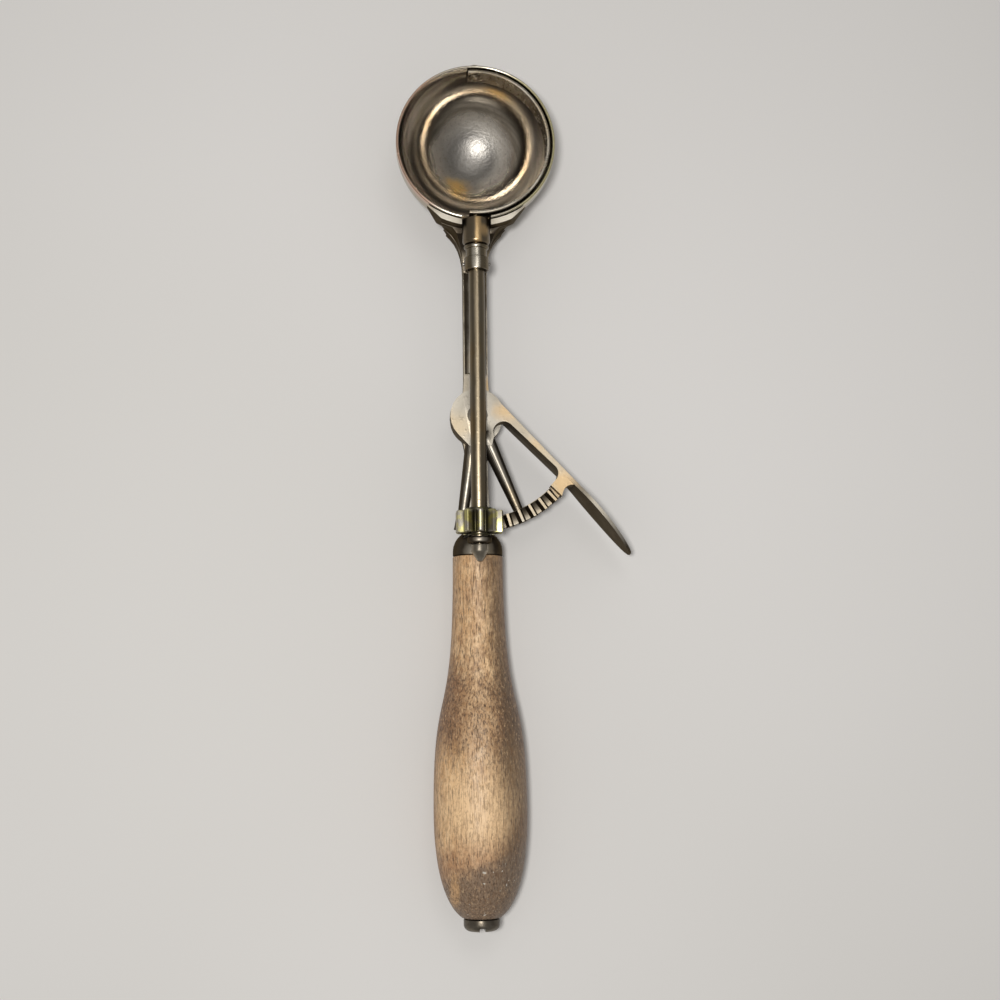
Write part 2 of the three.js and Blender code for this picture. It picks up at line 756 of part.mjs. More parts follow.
// The outline of the casting from the yoke down: hollow-sided web, shank, lever boss, waist and foot
function framePlan() {
  const inner = bowlOuterRadius + seatGap;
  const start = inner - yokeThickness;
  const webEnd = gripPoint(webHalfAngle, inner + yokeThickness / 2);
  const half = shankWidth / 2;
  const bossTop = gripPoint(Math.PI / 2 + bossFlare, bossRadius);
  const waist = pivotStation - waistFromPivot;
  const foot = bolsterTop - bolsterHeight / 2;
  const outline = new THREE.Path();
  outline.absarc(0, 0, start, -Math.PI / 2, webHalfAngle - Math.PI / 2, false);
  outline.lineTo(webEnd.x, webEnd.y);
  outline.quadraticCurveTo(half, -inner - yokeThickness, half, -inner - webRun);
  outline.lineTo(half, pivotStation + shankFlatRun);
  outline.quadraticCurveTo(half, pivotStation + bossRadius, bossTop.x, pivotStation + bossTop.y);
  outline.absarc(0, pivotStation, bossRadius, bossFlare, -bossFlare, true);
  outline.quadraticCurveTo(waistWidth / 2, pivotStation - bossRadius, waistWidth / 2, waist);
  outline.quadraticCurveTo(waistWidth / 2, (waist + foot) / 2, footWidth / 2, foot);
  outline.lineTo(0, foot);
  return slab(mirroredShape(outline), frameBack, bossFace);
}

// The web runs from the yoke's edge down to the shank in a hollow sweep, a step inside the outline
function yokeWeb() {
  const inner = bowlOuterRadius + seatGap;
  const start = inner - yokeThickness - castingStep;
  const webAngle = webHalfAngle - webMargin;
  const webEnd = gripPoint(webAngle, inner + yokeThickness / 2 - 2 * castingStep);
  const half = shankWidth / 2 - castingStep;
  const outline = new THREE.Path();
  outline.absarc(0, 0, start, -Math.PI / 2, webAngle - Math.PI / 2, false);
  outline.lineTo(webEnd.x, webEnd.y);
  outline.quadraticCurveTo(half, -inner - yokeThickness, half, -inner - webRun);
  outline.lineTo(0, -inner - webRun);
  const high = yokeTop - 2 * castingStep;
  const web = slab(mirroredShape(outline), bossFace - castingStep, high);
  const rise = high - (frameBack + shankRise - castingStep);
  const run = webRun - yokeThickness;
  const sweepRadius = (run ** 2 + rise ** 2) / (2 * rise);
  const hollow = rodAlongY(sweepRadius, bowlOuterRadius, -bowlOuterRadius, bowlSides).rotateZ(Math.PI / 2);
  hollow.translate(0, -inner - webRun, high - rise + sweepRadius);
  return cutBy(solidOf(web), hollow);
}

function bolster() {
  const rimTop = bolsterBottom + bolsterRim;
  const domeHeight = bolsterTop - rimTop;
  const stretch = domeHeight / Math.sin(bolsterCrown);
  const unitDome = arc(0, 0, 1, 0, bolsterCrown, edgeSteps);
  const dome = unitDome.map(([x, y]) => [bolsterRadius * x, rimTop + stretch * y]);
  const foot = [[0, bolsterBottom], [bolsterRadius, bolsterBottom]];
  return turned([...foot, ...dome, [0, bolsterTop]], gripSides).translate(0, 0, handleAxis);
}

// The lower bearing of the spindle, rounded off like a bead
function lug() {
  const quarter = Math.PI / 2;
  const shoulder = lugRadius - lugRound;
  return turned([
    [0, lugTop],
    ...arc(shoulder, lugTop - lugRound, lugRound, quarter, 0, edgeSteps),
    ...arc(shoulder, lugBottom + lugRound, lugRound, 0, -quarter, edgeSteps),
    [0, lugBottom],
  ], roundSides);
}

function frameCasting() {
  const flatTop = pivotStation + shankFlatRun;
  const crown = frameBack + shankRise;
  const crownSection = roundBar(shankWidth - 3 * castingStep, bossFace - 2 * castingStep, bossFace, crown);
  const shankTop = -bowlOuterRadius - webRun / 2;
  const lugLow = new THREE.Vector3(-lugWebWidth / 2, lugBottom + castingStep, handleAxis);
  const lugHigh = new THREE.Vector3(lugWebWidth / 2, lugTop - castingStep, -spindleRadius);
  const ballRadius = bowlOuterRadius + seatGap + castingStep;
  const ball = turnedAboutZ(arc(0, 0, ballRadius, -Math.PI / 2, Math.PI / 2, 2 * arcSteps), 2 * bowlSides);
  const web = cutBy(solidOf(framePlan()).add(yokeWeb()), ball);
  const body = yoke().add(web).add(joined(
    barAlongY(crownSection, shankTop, flatTop),
    bolster(),
    lug(),
    block(lugLow, lugHigh),
  ));
  const below = frameBack - bossThickness;
  const springHole = rodAlongZ(springWireRadius + seatGap, below, bossFace + seatGap, pinSides);
  const springFoot = springLegAngle - 2 * Math.PI * springTurns;
  springHole.translate(springCoilRadius * Math.cos(springFoot), springCoilRadius * Math.sin(springFoot), 0);
  const screwHole = rodAlongZ(screwRadius + seatGap, below, bossFace + bossThickness);
  const socketTop = bolsterBottom + tieRodSocket;
  const socket = rodAlongY(tieRodRadius + seatGap, socketTop, bolsterBottom - tieRodSocket);
  return cutBy(
    body,
    rodAlongY(sleeveRadius + seatGap, sleeveTop + sleeveLength, sleeveBottom - sleeveLength / 2),
    rodAlongY(pinionTipRadius + meshGap, pinionTop, washerTop - washerThickness),
    rodAlongY(spindleRadius + seatGap, pinionTop, lugBottom - lugLength),
    springHole.translate(0, pivotStation, 0),
    screwHole.translate(0, pivotStation, 0),
    socket.translate(0, 0, handleAxis),
  );
}

// Grip, drawn about its own axis

function woodHandle() {
  const bore = tieRodRadius + seatGap;
  const bellyStation = handleTop - handleBellyFromTop;
  const butt = handleEnd - bellyStation;
  const buttFullness = THREE.MathUtils.lerp(handleButtRadius, handleBellyRadius, handleButtFullness);
  const upper = new THREE.CubicBezierCurve(
    new THREE.Vector2(handleNeckRadius, handleTop),
    new THREE.Vector2(handleNeckRadius, handleTop - handleNeckPull * handleBellyFromTop),
    new THREE.Vector2(handleBellyRadius, handleTop - handleWaistPull * handleBellyFromTop),
    new THREE.Vector2(handleBellyRadius, bellyStation),
  );
  const lower = new THREE.CubicBezierCurve(
    new THREE.Vector2(handleBellyRadius, bellyStation),
    new THREE.Vector2(handleBellyRadius, bellyStation + handleBellyPull * butt),
    new THREE.Vector2(buttFullness, bellyStation + handleButtPull * butt),
    new THREE.Vector2(handleButtRadius, handleEnd),
  );
  const outside = [...upper.getPoints(arcSteps), ...lower.getPoints(arcSteps).slice(1)];
  const outline = outside.map((point) => [point.x, point.y]);
  return solidOf(turned([[bore, handleTop], ...outline, [bore, handleEnd]], gripSides));
}

function tieRod() {
  const top = bolsterBottom + tieRodSocket - seatGap;
  const bottom = endNutTop - endNutSocket + seatGap;
  return solidOf(rodAlongY(tieRodRadius, top, bottom));
}

function endNut() {
  const end = endNutTop - endNutLength;
  const bore = tieRodRadius + seatGap;
  const body = turned([
    [0, endNutTop - endNutSocket],
    [bore, endNutTop - endNutSocket],
    [bore, endNutTop],
    [endNutRadius, endNutTop],
    ...arc(endNutRadius - endNutRound, end + endNutRound, endNutRound, 0, -Math.PI / 2, edgeSteps),
    [0, end],
  ], roundSides);
  const slot = block(
    new THREE.Vector3(-endNutSlotWidth / 2, end - endNutSlotDepth, -2 * endNutRadius),
    new THREE.Vector3(endNutSlotWidth / 2, end + endNutSlotDepth, 2 * endNutRadius),
  );
  return cutBy(solidOf(body), slot);
}

// Assembly

const frame = new THREE.Group();
frame.add(pieceOf('frame_casting', frameCasting(), nickel));
frame.add(pieceOf('bowl', bowl(), nickel));
frame.add(pieceOf('blade_rivet', bladeRivet(), nickel));
frame.add(pieceOf('bearing_sleeve', bearingSleeve(), nickel));
frame.add(pieceOf('thrust_washer', thrustWasher(), brass));

const turningLine = new THREE.Group();
turningLine.add(pieceOf('spindle', spindle(), nickel));
turningLine.add(pieceOf('scraper_blade', scraperBlade(), nickel));
turningLine.add(pieceOf('thrust_collar', thrustCollar(), nickel));
turningLine.add(pieceOf('collar_pin', collarPin(), steel));
turningLine.add(pieceOf('pinion', pinion(), brass));
turningLine.add(pieceOf('pinion_pin', pinionPin(), steel));
turningLine.add(pieceOf('tip_nut', tipNut(), nickel));

const lever = new THREE.Group();
lever.position.y = pivotStation;
const leverPiece = pieceOf('thumb_lever', thumbLever(), wornNickel);
leverPiece.rotation.z = armAngle - Math.PI / 2;
lever.add(leverPiece);
lever.add(pieceOf('lever_pivot_screw', pivotScrew(), nickel));
lever.add(pieceOf('lever_spring', leverSpring(), steel));

const grip = new THREE.Group();
grip.position.z = handleAxis;
grip.add(pieceOf('wood_handle', woodHandle(), wood));
grip.add(pieceOf('tie_rod', tieRod(), steel));
grip.add(pieceOf('end_nut', endNut(), nickel));

// The finished scoop lies on the plane z = 0, with its origin under the middle of its box
const scoop = new THREE.Group();
scoop.add(frame, turningLine, lever, grip);
const box = new THREE.Box3().setFromObject(scoop, true);
scoop.position.set(-(box.min.x + box.max.x) / 2, -(box.min.y + box.max.y) / 2, -box.min.z);

export default scoop;
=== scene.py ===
"""The looks of a lever ice cream scoop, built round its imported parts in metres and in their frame."""

import math

import bmesh
import bpy
from mathutils import Matrix, Vector


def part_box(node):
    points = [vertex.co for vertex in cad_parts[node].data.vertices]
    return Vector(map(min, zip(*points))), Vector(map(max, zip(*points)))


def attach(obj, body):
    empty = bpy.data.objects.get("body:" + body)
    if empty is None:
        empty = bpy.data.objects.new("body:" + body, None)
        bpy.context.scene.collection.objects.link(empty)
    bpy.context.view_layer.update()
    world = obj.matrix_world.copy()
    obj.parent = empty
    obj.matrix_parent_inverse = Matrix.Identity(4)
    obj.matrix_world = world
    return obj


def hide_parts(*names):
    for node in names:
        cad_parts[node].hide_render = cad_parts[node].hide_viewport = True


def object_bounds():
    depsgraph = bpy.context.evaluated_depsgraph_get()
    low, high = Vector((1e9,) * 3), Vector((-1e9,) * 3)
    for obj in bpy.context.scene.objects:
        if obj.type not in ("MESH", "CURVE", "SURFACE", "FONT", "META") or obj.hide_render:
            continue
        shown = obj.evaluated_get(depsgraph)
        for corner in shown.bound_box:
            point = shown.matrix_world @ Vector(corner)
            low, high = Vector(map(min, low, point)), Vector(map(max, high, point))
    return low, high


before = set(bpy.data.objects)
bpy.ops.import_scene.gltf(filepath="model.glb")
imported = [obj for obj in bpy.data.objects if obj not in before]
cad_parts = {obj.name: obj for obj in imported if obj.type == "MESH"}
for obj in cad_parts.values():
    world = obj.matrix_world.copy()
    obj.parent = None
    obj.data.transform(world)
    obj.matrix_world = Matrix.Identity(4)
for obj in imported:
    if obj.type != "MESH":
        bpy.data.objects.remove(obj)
cad_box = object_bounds()

MM = 0.001


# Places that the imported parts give

def middle(node):
    low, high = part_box(node)
    return (low + high) / 2


def half_width(node):
    low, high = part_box(node)
    return (high.x - low.x) / 2


def ends(node):
    """The two ends of a node along the scoop, the bowl's side first."""
    low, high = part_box(node)
    return high.y, low.y


def off(place, x, y, z):
    """The point that lies so many millimetres from a place."""
    return place + Vector((x * MM, y * MM, z * MM))


SPINDLE_LINE = middle("spindle")
GRIP_LINE = middle("wood_handle")
PIVOT = middle("lever_pivot_screw")
BOWL_RADIUS = half_width("bowl")
BOWL_CENTRE = Vector((SPINDLE_LINE.x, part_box("bowl")[1].y - BOWL_RADIUS, SPINDLE_LINE.z))
GRIP_TOP, GRIP_END = ends("wood_handle")

# Sizes that only the looks need
BOWL_WALL = 0.9 * MM
BOWL_BEAD = 0.45 * MM
BLADE_WALL = 1 * MM
SPINDLE_BORE = 2.8 * MM
RIVET_BORE = 1.6 * MM
GRIP_BORE = 3.1 * MM

# Edges and how finely the pieces are divided
BLADE_EDGE = 0.25 * MM
SOFT_EDGE = 0.22 * MM
FINE_EDGE = 0.2 * MM
TURNED_EDGE = 0.3 * MM
EDGE_LIMIT = 2.2  # a rounded corner takes at most a side's length over this
SHARP_ANGLE = math.radians(32)
FLAT_ANGLE = math.radians(0.6)
MERGE = 0.002 * MM
FINE_SIDES = 160
ROUND_SIDES = 72
PIN_SIDES = 40
BOWL_STEPS = 60
BEAD_STEPS = 12
BLADE_STEPS = 120
QUARTER = math.pi / 2

# The name under which a casting's mesh carries how far it looks up
LOOK_UP = "look_up"

# The photograph's camera
IMAGE_SIZE = 1000
FOCAL_PIXELS = 1600
SENSOR_WIDTH = 36
CAMERA_PLACE = (-0.04167, -0.06993, 0.51643)
CAMERA_TURN = (7.609, -4.142, -0.749)
CLIP_START = 0.01

# The light and the floor
LAMP_TARGET = Vector((0, 0, 0.02))
KEY_PLACE, KEY_SIZE, KEY_WATTS = Vector((-0.09, -0.07, 0.62)), 0.065, 2.0
TOP_PLACE, TOP_SIZE, TOP_WATTS = Vector((0.028, 0.205, 0.625)), 0.24, 0.25
ROOM_LIGHT = (0.33, 0.325, 0.32, 1)
FLOOR_REACH = 3.0


# Node trees

class Wire:
    """An output socket that Python arithmetic can work on."""

    def __init__(self, graph, socket):
        self.graph = graph
        self.socket = socket

    def maths(self, operation, first, second):
        return self.graph.add("ShaderNodeMath", {"operation": operation}, {0: first, 1: second})

    def __add__(self, other):
        return self.maths("ADD", self, other)

    def __sub__(self, other):
        return self.maths("SUBTRACT", self, other)

    def __rsub__(self, other):
        return self.maths("SUBTRACT", other, self)

    def __mul__(self, other):
        return self.maths("MULTIPLY", self, other)

    def __truediv__(self, other):
        return self.maths("DIVIDE", self, other)

    def __mod__(self, other):
        return self.maths("MODULO", self, other)

    def __pow__(self, other):
        return self.maths("POWER", self, other)

    __radd__ = __add__
    __rmul__ = __mul__


class Graph:
    """A node tree that grows one node at a time."""

    def __init__(self, tree):
        self.tree = tree

    def add(self, kind, settings=None, sockets=None, output=0):
        node = self.tree.nodes.new(kind)
        for name, value in (settings or {}).items():
            setattr(node, name, value)
        for name, value in (sockets or {}).items():
            if isinstance(value, Wire):
                self.tree.links.new(value.socket, node.inputs[name])
            else:
                node.inputs[name].default_value = value
        return Wire(self, node.outputs[output]) if node.outputs else None


class Finish(Graph):
    """A procedural material that reads the piece's own coordinates."""

    def __init__(self, name):
        self.material = bpy.data.materials.new(name)
        self.material.use_nodes = True
        super().__init__(self.material.node_tree)
        self.tree.nodes.clear()
        self.place = self.add("ShaderNodeTexCoord", output=3)

    def stretched(self, scale):
        return self.add("ShaderNodeMapping", None, {"Vector": self.place, "Scale": scale})

    def axes(self, centre):
        """Distances from a point along the three axes."""
        sockets = {0: self.place, 1: centre}
        moved = self.add("ShaderNodeVectorMath", {"operation": "SUBTRACT"}, sockets)
        parts = self.add("ShaderNodeSeparateXYZ", None, {0: moved})
        node = parts.socket.node
        return [Wire(self, node.outputs[axis]) for axis in range(3)]

    def clouds(self, size, place=None, detail=3.0, roughness=0.5, seed=0.0):
        """Noise whose lumps are about the given size across."""
        sockets = {
            "Vector": place or self.place, "W": seed, "Scale": 1 / size,
            "Detail": detail, "Roughness": roughness,
        }
        return self.add("ShaderNodeTexNoise", {"noise_dimensions": "4D"}, sockets)

    def ease(self, value, low, high):
        """0 below low, 1 above high, and smooth between."""
        sockets = {"Value": value, "From Min": low, "From Max": high}
        return self.add("ShaderNodeMapRange", {"interpolation_type": "SMOOTHSTEP"}, sockets)

    def looking_up(self):
        """How far the surface looks up, which the mesh carries."""
        return self.add("ShaderNodeAttribute", {"attribute_name": LOOK_UP}, output=2)

    def distance(self, point):
        sockets = {0: self.place, 1: point}
        return self.add("ShaderNodeVectorMath", {"operation": "DISTANCE"}, sockets, output=1)

    def blend(self, share, first, second):
        sockets = {0: share, 6: first, 7: second}
        return self.add("ShaderNodeMix", {"data_type": "RGBA"}, sockets, output=2)

    def bump(self, height, depth, strength=1.0):
        sockets = {"Height": height, "Distance": depth, "Strength": strength}
        return self.add("ShaderNodeBump", None, sockets)

    def done(self, sockets):
        surface = self.add("ShaderNodeBsdfPrincipled", None, sockets)
        self.add("ShaderNodeOutputMaterial", None, {"Surface": surface})
        return self.material


def rgb(red, green, blue):
    """A screen colour as the linear colour that the shader takes."""
    parts = [part / 255 for part in (red, green, blue)]
    linear = [part / 12.92 if part < 0.04045 else ((part + 0.055) / 1.055) ** 2.4 for part in parts]
    return (*linear, 1)


# Meshes

def new_piece(name, mesh):
    piece = bpy.data.objects.new(name, mesh)
    bpy.context.scene.collection.objects.link(piece)
    return piece


def tidy(mesh, outward=True):
    """Closes seams and poles and sets smooth faces with crisp corners."""
    work = bmesh.new()
    work.from_mesh(mesh)
    bmesh.ops.remove_doubles(work, verts=work.verts, dist=MERGE)
    bmesh.ops.dissolve_degenerate(work, edges=work.edges, dist=MERGE)
    if outward:
        bmesh.ops.recalc_face_normals(work, faces=work.faces)
    for face in work.faces:
        face.smooth = True
    work.to_mesh(mesh)
    work.free()
    mesh.set_sharp_from_angle(angle=SHARP_ANGLE)


def eased(outline, ease=TURNED_EDGE, steps=4):
    """An outline with its corners rounded off; its first and last points stay."""
    points = [Vector(point) for point in outline]
    smooth = [points[0]]
    for before, corner, after in zip(points, points[1:], points[2:]):
        reach_in = min(ease, (before - corner).length / EDGE_LIMIT)
        reach_out = min(ease, (after - corner).length / EDGE_LIMIT)
        start = corner + (before - corner).normalized() * reach_in
        end = corner + (after - corner).normalized() * reach_out
        for step in range(steps + 1):
            share = step / steps
            smooth.append(start.lerp(corner, share).lerp(corner.lerp(end, share), share))
    return smooth + [points[-1]]


def round_arc(radius, first, last, steps, centre=(0, 0)):
    """Points of an arc, in an outline's radius and station."""
    x, y = centre
    turns = [first + (last - first) * step / steps for step in range(steps + 1)]
    return [(x + radius * math.cos(turn), y + radius * math.sin(turn)) for turn in turns]


def group_tree(name, inputs):
    """A geometry tree with named inputs. Returns the tree, its graph and a wire for each input."""
    tree = bpy.data.node_groups.new(name, "GeometryNodeTree")
    tree.interface.new_socket("Outline", in_out="INPUT", socket_type="NodeSocketGeometry")
    for label, kind in inputs:
        tree.interface.new_socket(label, in_out="INPUT", socket_type=kind)
    tree.interface.new_socket("Piece", in_out="OUTPUT", socket_type="NodeSocketGeometry")
    graph = Graph(tree)
    entry = graph.add("NodeGroupInput").socket.node
    wires = {socket.name: Wire(graph, socket) for socket in entry.outputs if socket.name}
    return tree, graph, wires


def close_tree(graph, surface, finish):
    """Ends a geometry tree with one merged, finished mesh."""
    seams = {"Geometry": surface, "Distance": MERGE}
    merged = graph.add("GeometryNodeMergeByDistance", None, seams)
    whole = graph.add("GeometryNodeRealizeInstances", None, {"Geometry": merged})
    coated = graph.add("GeometryNodeSetMaterial", None, {"Geometry": whole, "Material": finish})
    graph.add("NodeGroupOutput", None, {"Piece": coated})


def sampled_point(graph, geometry, number):
    """The place of one point of a geometry, as three wires."""
    place = graph.add("GeometryNodeInputPosition")
    settings = {"data_type": "FLOAT_VECTOR", "domain": "POINT"}
    sockets = {"Geometry": geometry, "Value": place, "Index": number}
    point = graph.add("GeometryNodeSampleIndex", settings, sockets)
    node = graph.add("ShaderNodeSeparateXYZ", None, {0: point}).socket.node
    return [Wire(graph, node.outputs[axis]) for axis in range(3)]


def turning_tree():
    """A lathe: the outline's points hold a radius in X and a station in Y."""
    inputs = [("Sides", "NodeSocketInt"), ("Finish", "NodeSocketMaterial")]
    tree, graph, wires = group_tree("turned piece", inputs)
    sides = wires["Sides"]
    count = graph.add("GeometryNodeAttributeDomainSize", None, {"Geometry": wires["Outline"]})
    sheet = graph.add("GeometryNodeMeshGrid", None, {"Vertices X": sides + 1, "Vertices Y": count})
    number = graph.add("GeometryNodeInputIndex")
    along = number % count
    turn = (number - along) / count / sides * math.tau
    radius, station, _ = sampled_point(graph, wires["Outline"], along)
    sine = graph.add("ShaderNodeMath", {"operation": "SINE"}, {0: turn})
    cosine = graph.add("ShaderNodeMath", {"operation": "COSINE"}, {0: turn})
    place = graph.add("ShaderNodeCombineXYZ", None, {0: radius * sine, 1: station, 2: radius * cosine})
    wrapped = graph.add("GeometryNodeSetPosition", None, {"Geometry": sheet, "Position": place})
    close_tree(graph, wrapped, wires["Finish"])
    return tree


def gear_tree():
    """A toothed wheel about Y: one pitch of the outline, in radius and turn, repeats round the wheel,
    and each row of the wheel's width has a station and a share of the way from bore to outline."""
    inputs = [
        ("Teeth", "NodeSocketInt"), ("Pitch Points", "NodeSocketInt"), ("Rows", "NodeSocketInt"),
        ("Bore", "NodeSocketFloat"), ("Finish", "NodeSocketMaterial"),
    ]
    tree, graph, wires = group_tree("toothed wheel", inputs)
    teeth, points, rows = wires["Teeth"], wires["Pitch Points"], wires["Rows"]
    size = {"Vertices X": teeth * points + 1, "Vertices Y": rows}
    sheet = graph.add("GeometryNodeMeshGrid", None, size)
    number = graph.add("GeometryNodeInputIndex")
    row = number % rows
    column = (number - row) / rows
    step = column % points
    tooth = (column - step) / points
    radius, turn, _ = sampled_point(graph, wires["Outline"], step)
    share, station, _ = sampled_point(graph, wires["Outline"], points + row)
    reach = wires["Bore"] + (radius - wires["Bore"]) * share
    turned = turn + tooth / teeth * math.tau
    sine = graph.add("ShaderNodeMath", {"operation": "SINE"}, {0: turned})
    cosine = graph.add("ShaderNodeMath", {"operation": "COSINE"}, {0: turned})
    place = graph.add("ShaderNodeCombineXYZ", None, {0: reach * sine, 1: station, 2: reach * cosine})
    wrapped = graph.add("GeometryNodeSetPosition", None, {"Geometry": sheet, "Position": place})
    close_tree(graph, wrapped, wires["Finish"])
    return tree


TURNING = turning_tree()
GEARING = gear_tree()


def coat(mesh, finish):
    """Leaves a mesh with one finish on all its faces."""
    mesh.materials.clear()
    if finish:
        mesh.materials.append(finish)


def finished_mesh(piece, modifier):
    """The mesh that a modifier leaves, once the modifier is taken off."""
    depsgraph = bpy.context.evaluated_depsgraph_get()
    mesh = bpy.data.meshes.new_from_object(piece.evaluated_get(depsgraph))
    piece.modifiers.remove(modifier)
    return mesh


def grown(tree, outline, values):
    """The plain mesh that a geometry tree makes from an outline's points."""
    mesh = bpy.data.meshes.new("outline")
    mesh.from_pydata([(x, y, 0) for x, y in outline], [], [])
    seed = new_piece("outline", mesh)
    modifier = seed.modifiers.new("made", "NODES")
    modifier.node_group = tree
    for socket in tree.interface.items_tree:
        if socket.name in values:
            modifier[socket.identifier] = values[socket.name]
    made = finished_mesh(seed, modifier)
    bpy.data.objects.remove(seed)
    coat(made, values["Finish"])
    return made


def turned_mesh(outline, finish, line, upright=False, sides=ROUND_SIDES):
    """A turned piece on a line along the scoop, or about Z where it is upright."""
    mesh = grown(TURNING, outline, {"Sides": sides, "Finish": finish})
    if upright:
        mesh.transform(Matrix.Rotation(QUARTER, 4, "X"))
        mesh.transform(Matrix.Translation(line))
    else:
        mesh.transform(Matrix.Translation((line.x, 0, line.z)))
    tidy(mesh)
    return mesh


def joined_mesh(first, second):
    work = bmesh.new()
    for mesh in (first, second):
        work.from_mesh(mesh)
    work.to_mesh(first)
    work.free()
    return first


def cut(piece, *tools):
    """Takes tool meshes away from a piece."""
    for tool in tools:
        cutter = new_piece("cutter", tool)
        modifier = piece.modifiers.new("cut", "BOOLEAN")
        modifier.operation = "DIFFERENCE"
        modifier.solver = "EXACT"
        modifier.object = cutter
        piece.data = finished_mesh(piece, modifier)
        bpy.data.objects.remove(cutter)
    tidy(piece.data)
    return piece


def box_mesh(low, high):
    work = bmesh.new()
    bmesh.ops.create_cube(work, size=1)
    mesh = bpy.data.meshes.new("block")
    work.to_mesh(mesh)
    work.free()
    low, high = Vector(low), Vector(high)
    mesh.transform(Matrix.Diagonal((*(high - low), 1)))
    mesh.transform(Matrix.Translation((low + high) / 2))
    return mesh


def prism_mesh(points, low, high):
    """A straight block over an outline in X and Y."""
    work = bmesh.new()
    base = work.faces.new([work.verts.new((x, y, low)) for x, y in points])
    grown_part = bmesh.ops.extrude_face_region(work, geom=[base])["geom"]
    top = [part for part in grown_part if isinstance(part, bmesh.types.BMVert)]
    bmesh.ops.translate(work, verts=top, vec=(0, 0, high - low))
    bmesh.ops.recalc_face_normals(work, faces=work.faces)
    mesh = bpy.data.meshes.new("prism")
    work.to_mesh(mesh)
    work.free()
    return mesh


def rod_mesh(radius, first, last, line, sides=ROUND_SIDES):
    """A plain round rod to cut with."""
    outline = [(0, first), (radius, first), (radius, last), (0, last)]
    return turned_mesh(outline, None, line, sides=sides)


def settle(piece, node, body):
    """A finished piece stands for its CAD node and rides on its body."""
    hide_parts(node)
    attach(piece, body)


def dressed(node, finish, trims=(), edge=None):
    """A casting: the CAD solid, trimmed and, where an edge is given, with its corners broken."""
    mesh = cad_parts[node].data.copy()
    work = bmesh.new()
    work.from_mesh(mesh)
    bmesh.ops.remove_doubles(work, verts=work.verts, dist=MERGE)
    bmesh.ops.dissolve_limit(
        work, angle_limit=FLAT_ANGLE, use_dissolve_boundaries=False,
        verts=work.verts, edges=work.edges,
    )
    work.to_mesh(mesh)
    work.free()
    tidy(mesh, outward=False)
    piece = cut(new_piece(node + "_dressed", mesh), *trims)
    coat(piece.data, finish)
    if edge:
        bevel = piece.modifiers.new("broken corners", "BEVEL")
        bevel.limit_method = "ANGLE"
        bevel.angle_limit = SHARP_ANGLE
        bevel.width = edge
        bevel.segments = 2
        bevel.harden_normals = True
        piece.data = finished_mesh(piece, bevel)
    # How far each corner looks up, which the finish uses for painted shade on the sides
    heights = [normal.vector.z for normal in piece.data.corner_normals]
    piece.data.attributes.new(LOOK_UP, "FLOAT", "CORNER").data.foreach_set("value", heights)
    return piece


# Finishes

NICKEL = rgb(168, 161, 148)
WARM_NICKEL = rgb(172, 154, 124)
# Nickel darkened as painted shade for the spindle, collar and sleeve, with a lit copy for the spindle's
# painted highlight
ROD_SHADED_GREY = rgb(112, 102, 84)
ROD_SHADED_WARM = rgb(124, 102, 68)
ROD_HIGHLIGHT = rgb(164, 149, 124)
SLEEVE_SHADED_GREY = rgb(112, 100, 82)
SLEEVE_SHADED_WARM = rgb(124, 102, 70)
DULL_NICKEL = rgb(104, 97, 86)
# Dark nickel: painted shade on casting sides, the yoke's wall, the web and the shank, and darker places
# at the bolster and the end nut
SHADE_AND_GRIME_NICKEL = rgb(68, 60, 50)
EVEN_EDGE = rgb(255, 255, 255)
# A dark tint for grazing reflections, part of the painted shade on castings
DARK_EDGE = (0.52, 0.48, 0.42, 1)
BOWL_GREY = rgb(132, 128, 122)
BOWL_WARM = rgb(112, 102, 88)
BOWL_PAINTED_LIGHT = rgb(214, 207, 196)
GOLD_GLINT = rgb(226, 190, 122)
# Bare brass, for worn places and for the sleeve's painted gold highlights
BRASS_WEAR_AND_HIGHLIGHT = rgb(190, 160, 116)
RIM_NICKEL = rgb(206, 198, 182)
COPPER = rgb(204, 152, 126)
GREEN_BRASS = rgb(196, 188, 126)
GEAR_GREASE = rgb(58, 54, 40)
STEEL = rgb(150, 146, 140)
STEEL_STAIN = rgb(92, 84, 74)
WOOD_PALE = rgb(242, 204, 156)
WOOD_TAN = rgb(210, 166, 116)
WOOD_BROWN = rgb(128, 92, 64)
WOOD_RED = rgb(158, 112, 82)
WOOD_GREY = rgb(98, 80, 60)
WOOD_BUTT = rgb(122, 104, 86)
WOOD_GRAIN = rgb(108, 76, 48)
WOOD_DARK = rgb(62, 46, 34)
WOOD_CHIP = rgb(214, 206, 192)
FLOOR_DARK = rgb(222, 219, 214)
FLOOR_PALE = rgb(228, 225, 221)

# How scratches are drawn out, along the scoop or round it
ALONG_SCOOP = (1, 0.05, 1)
ROUND_SCOOP = (0.08, 1, 0.08)


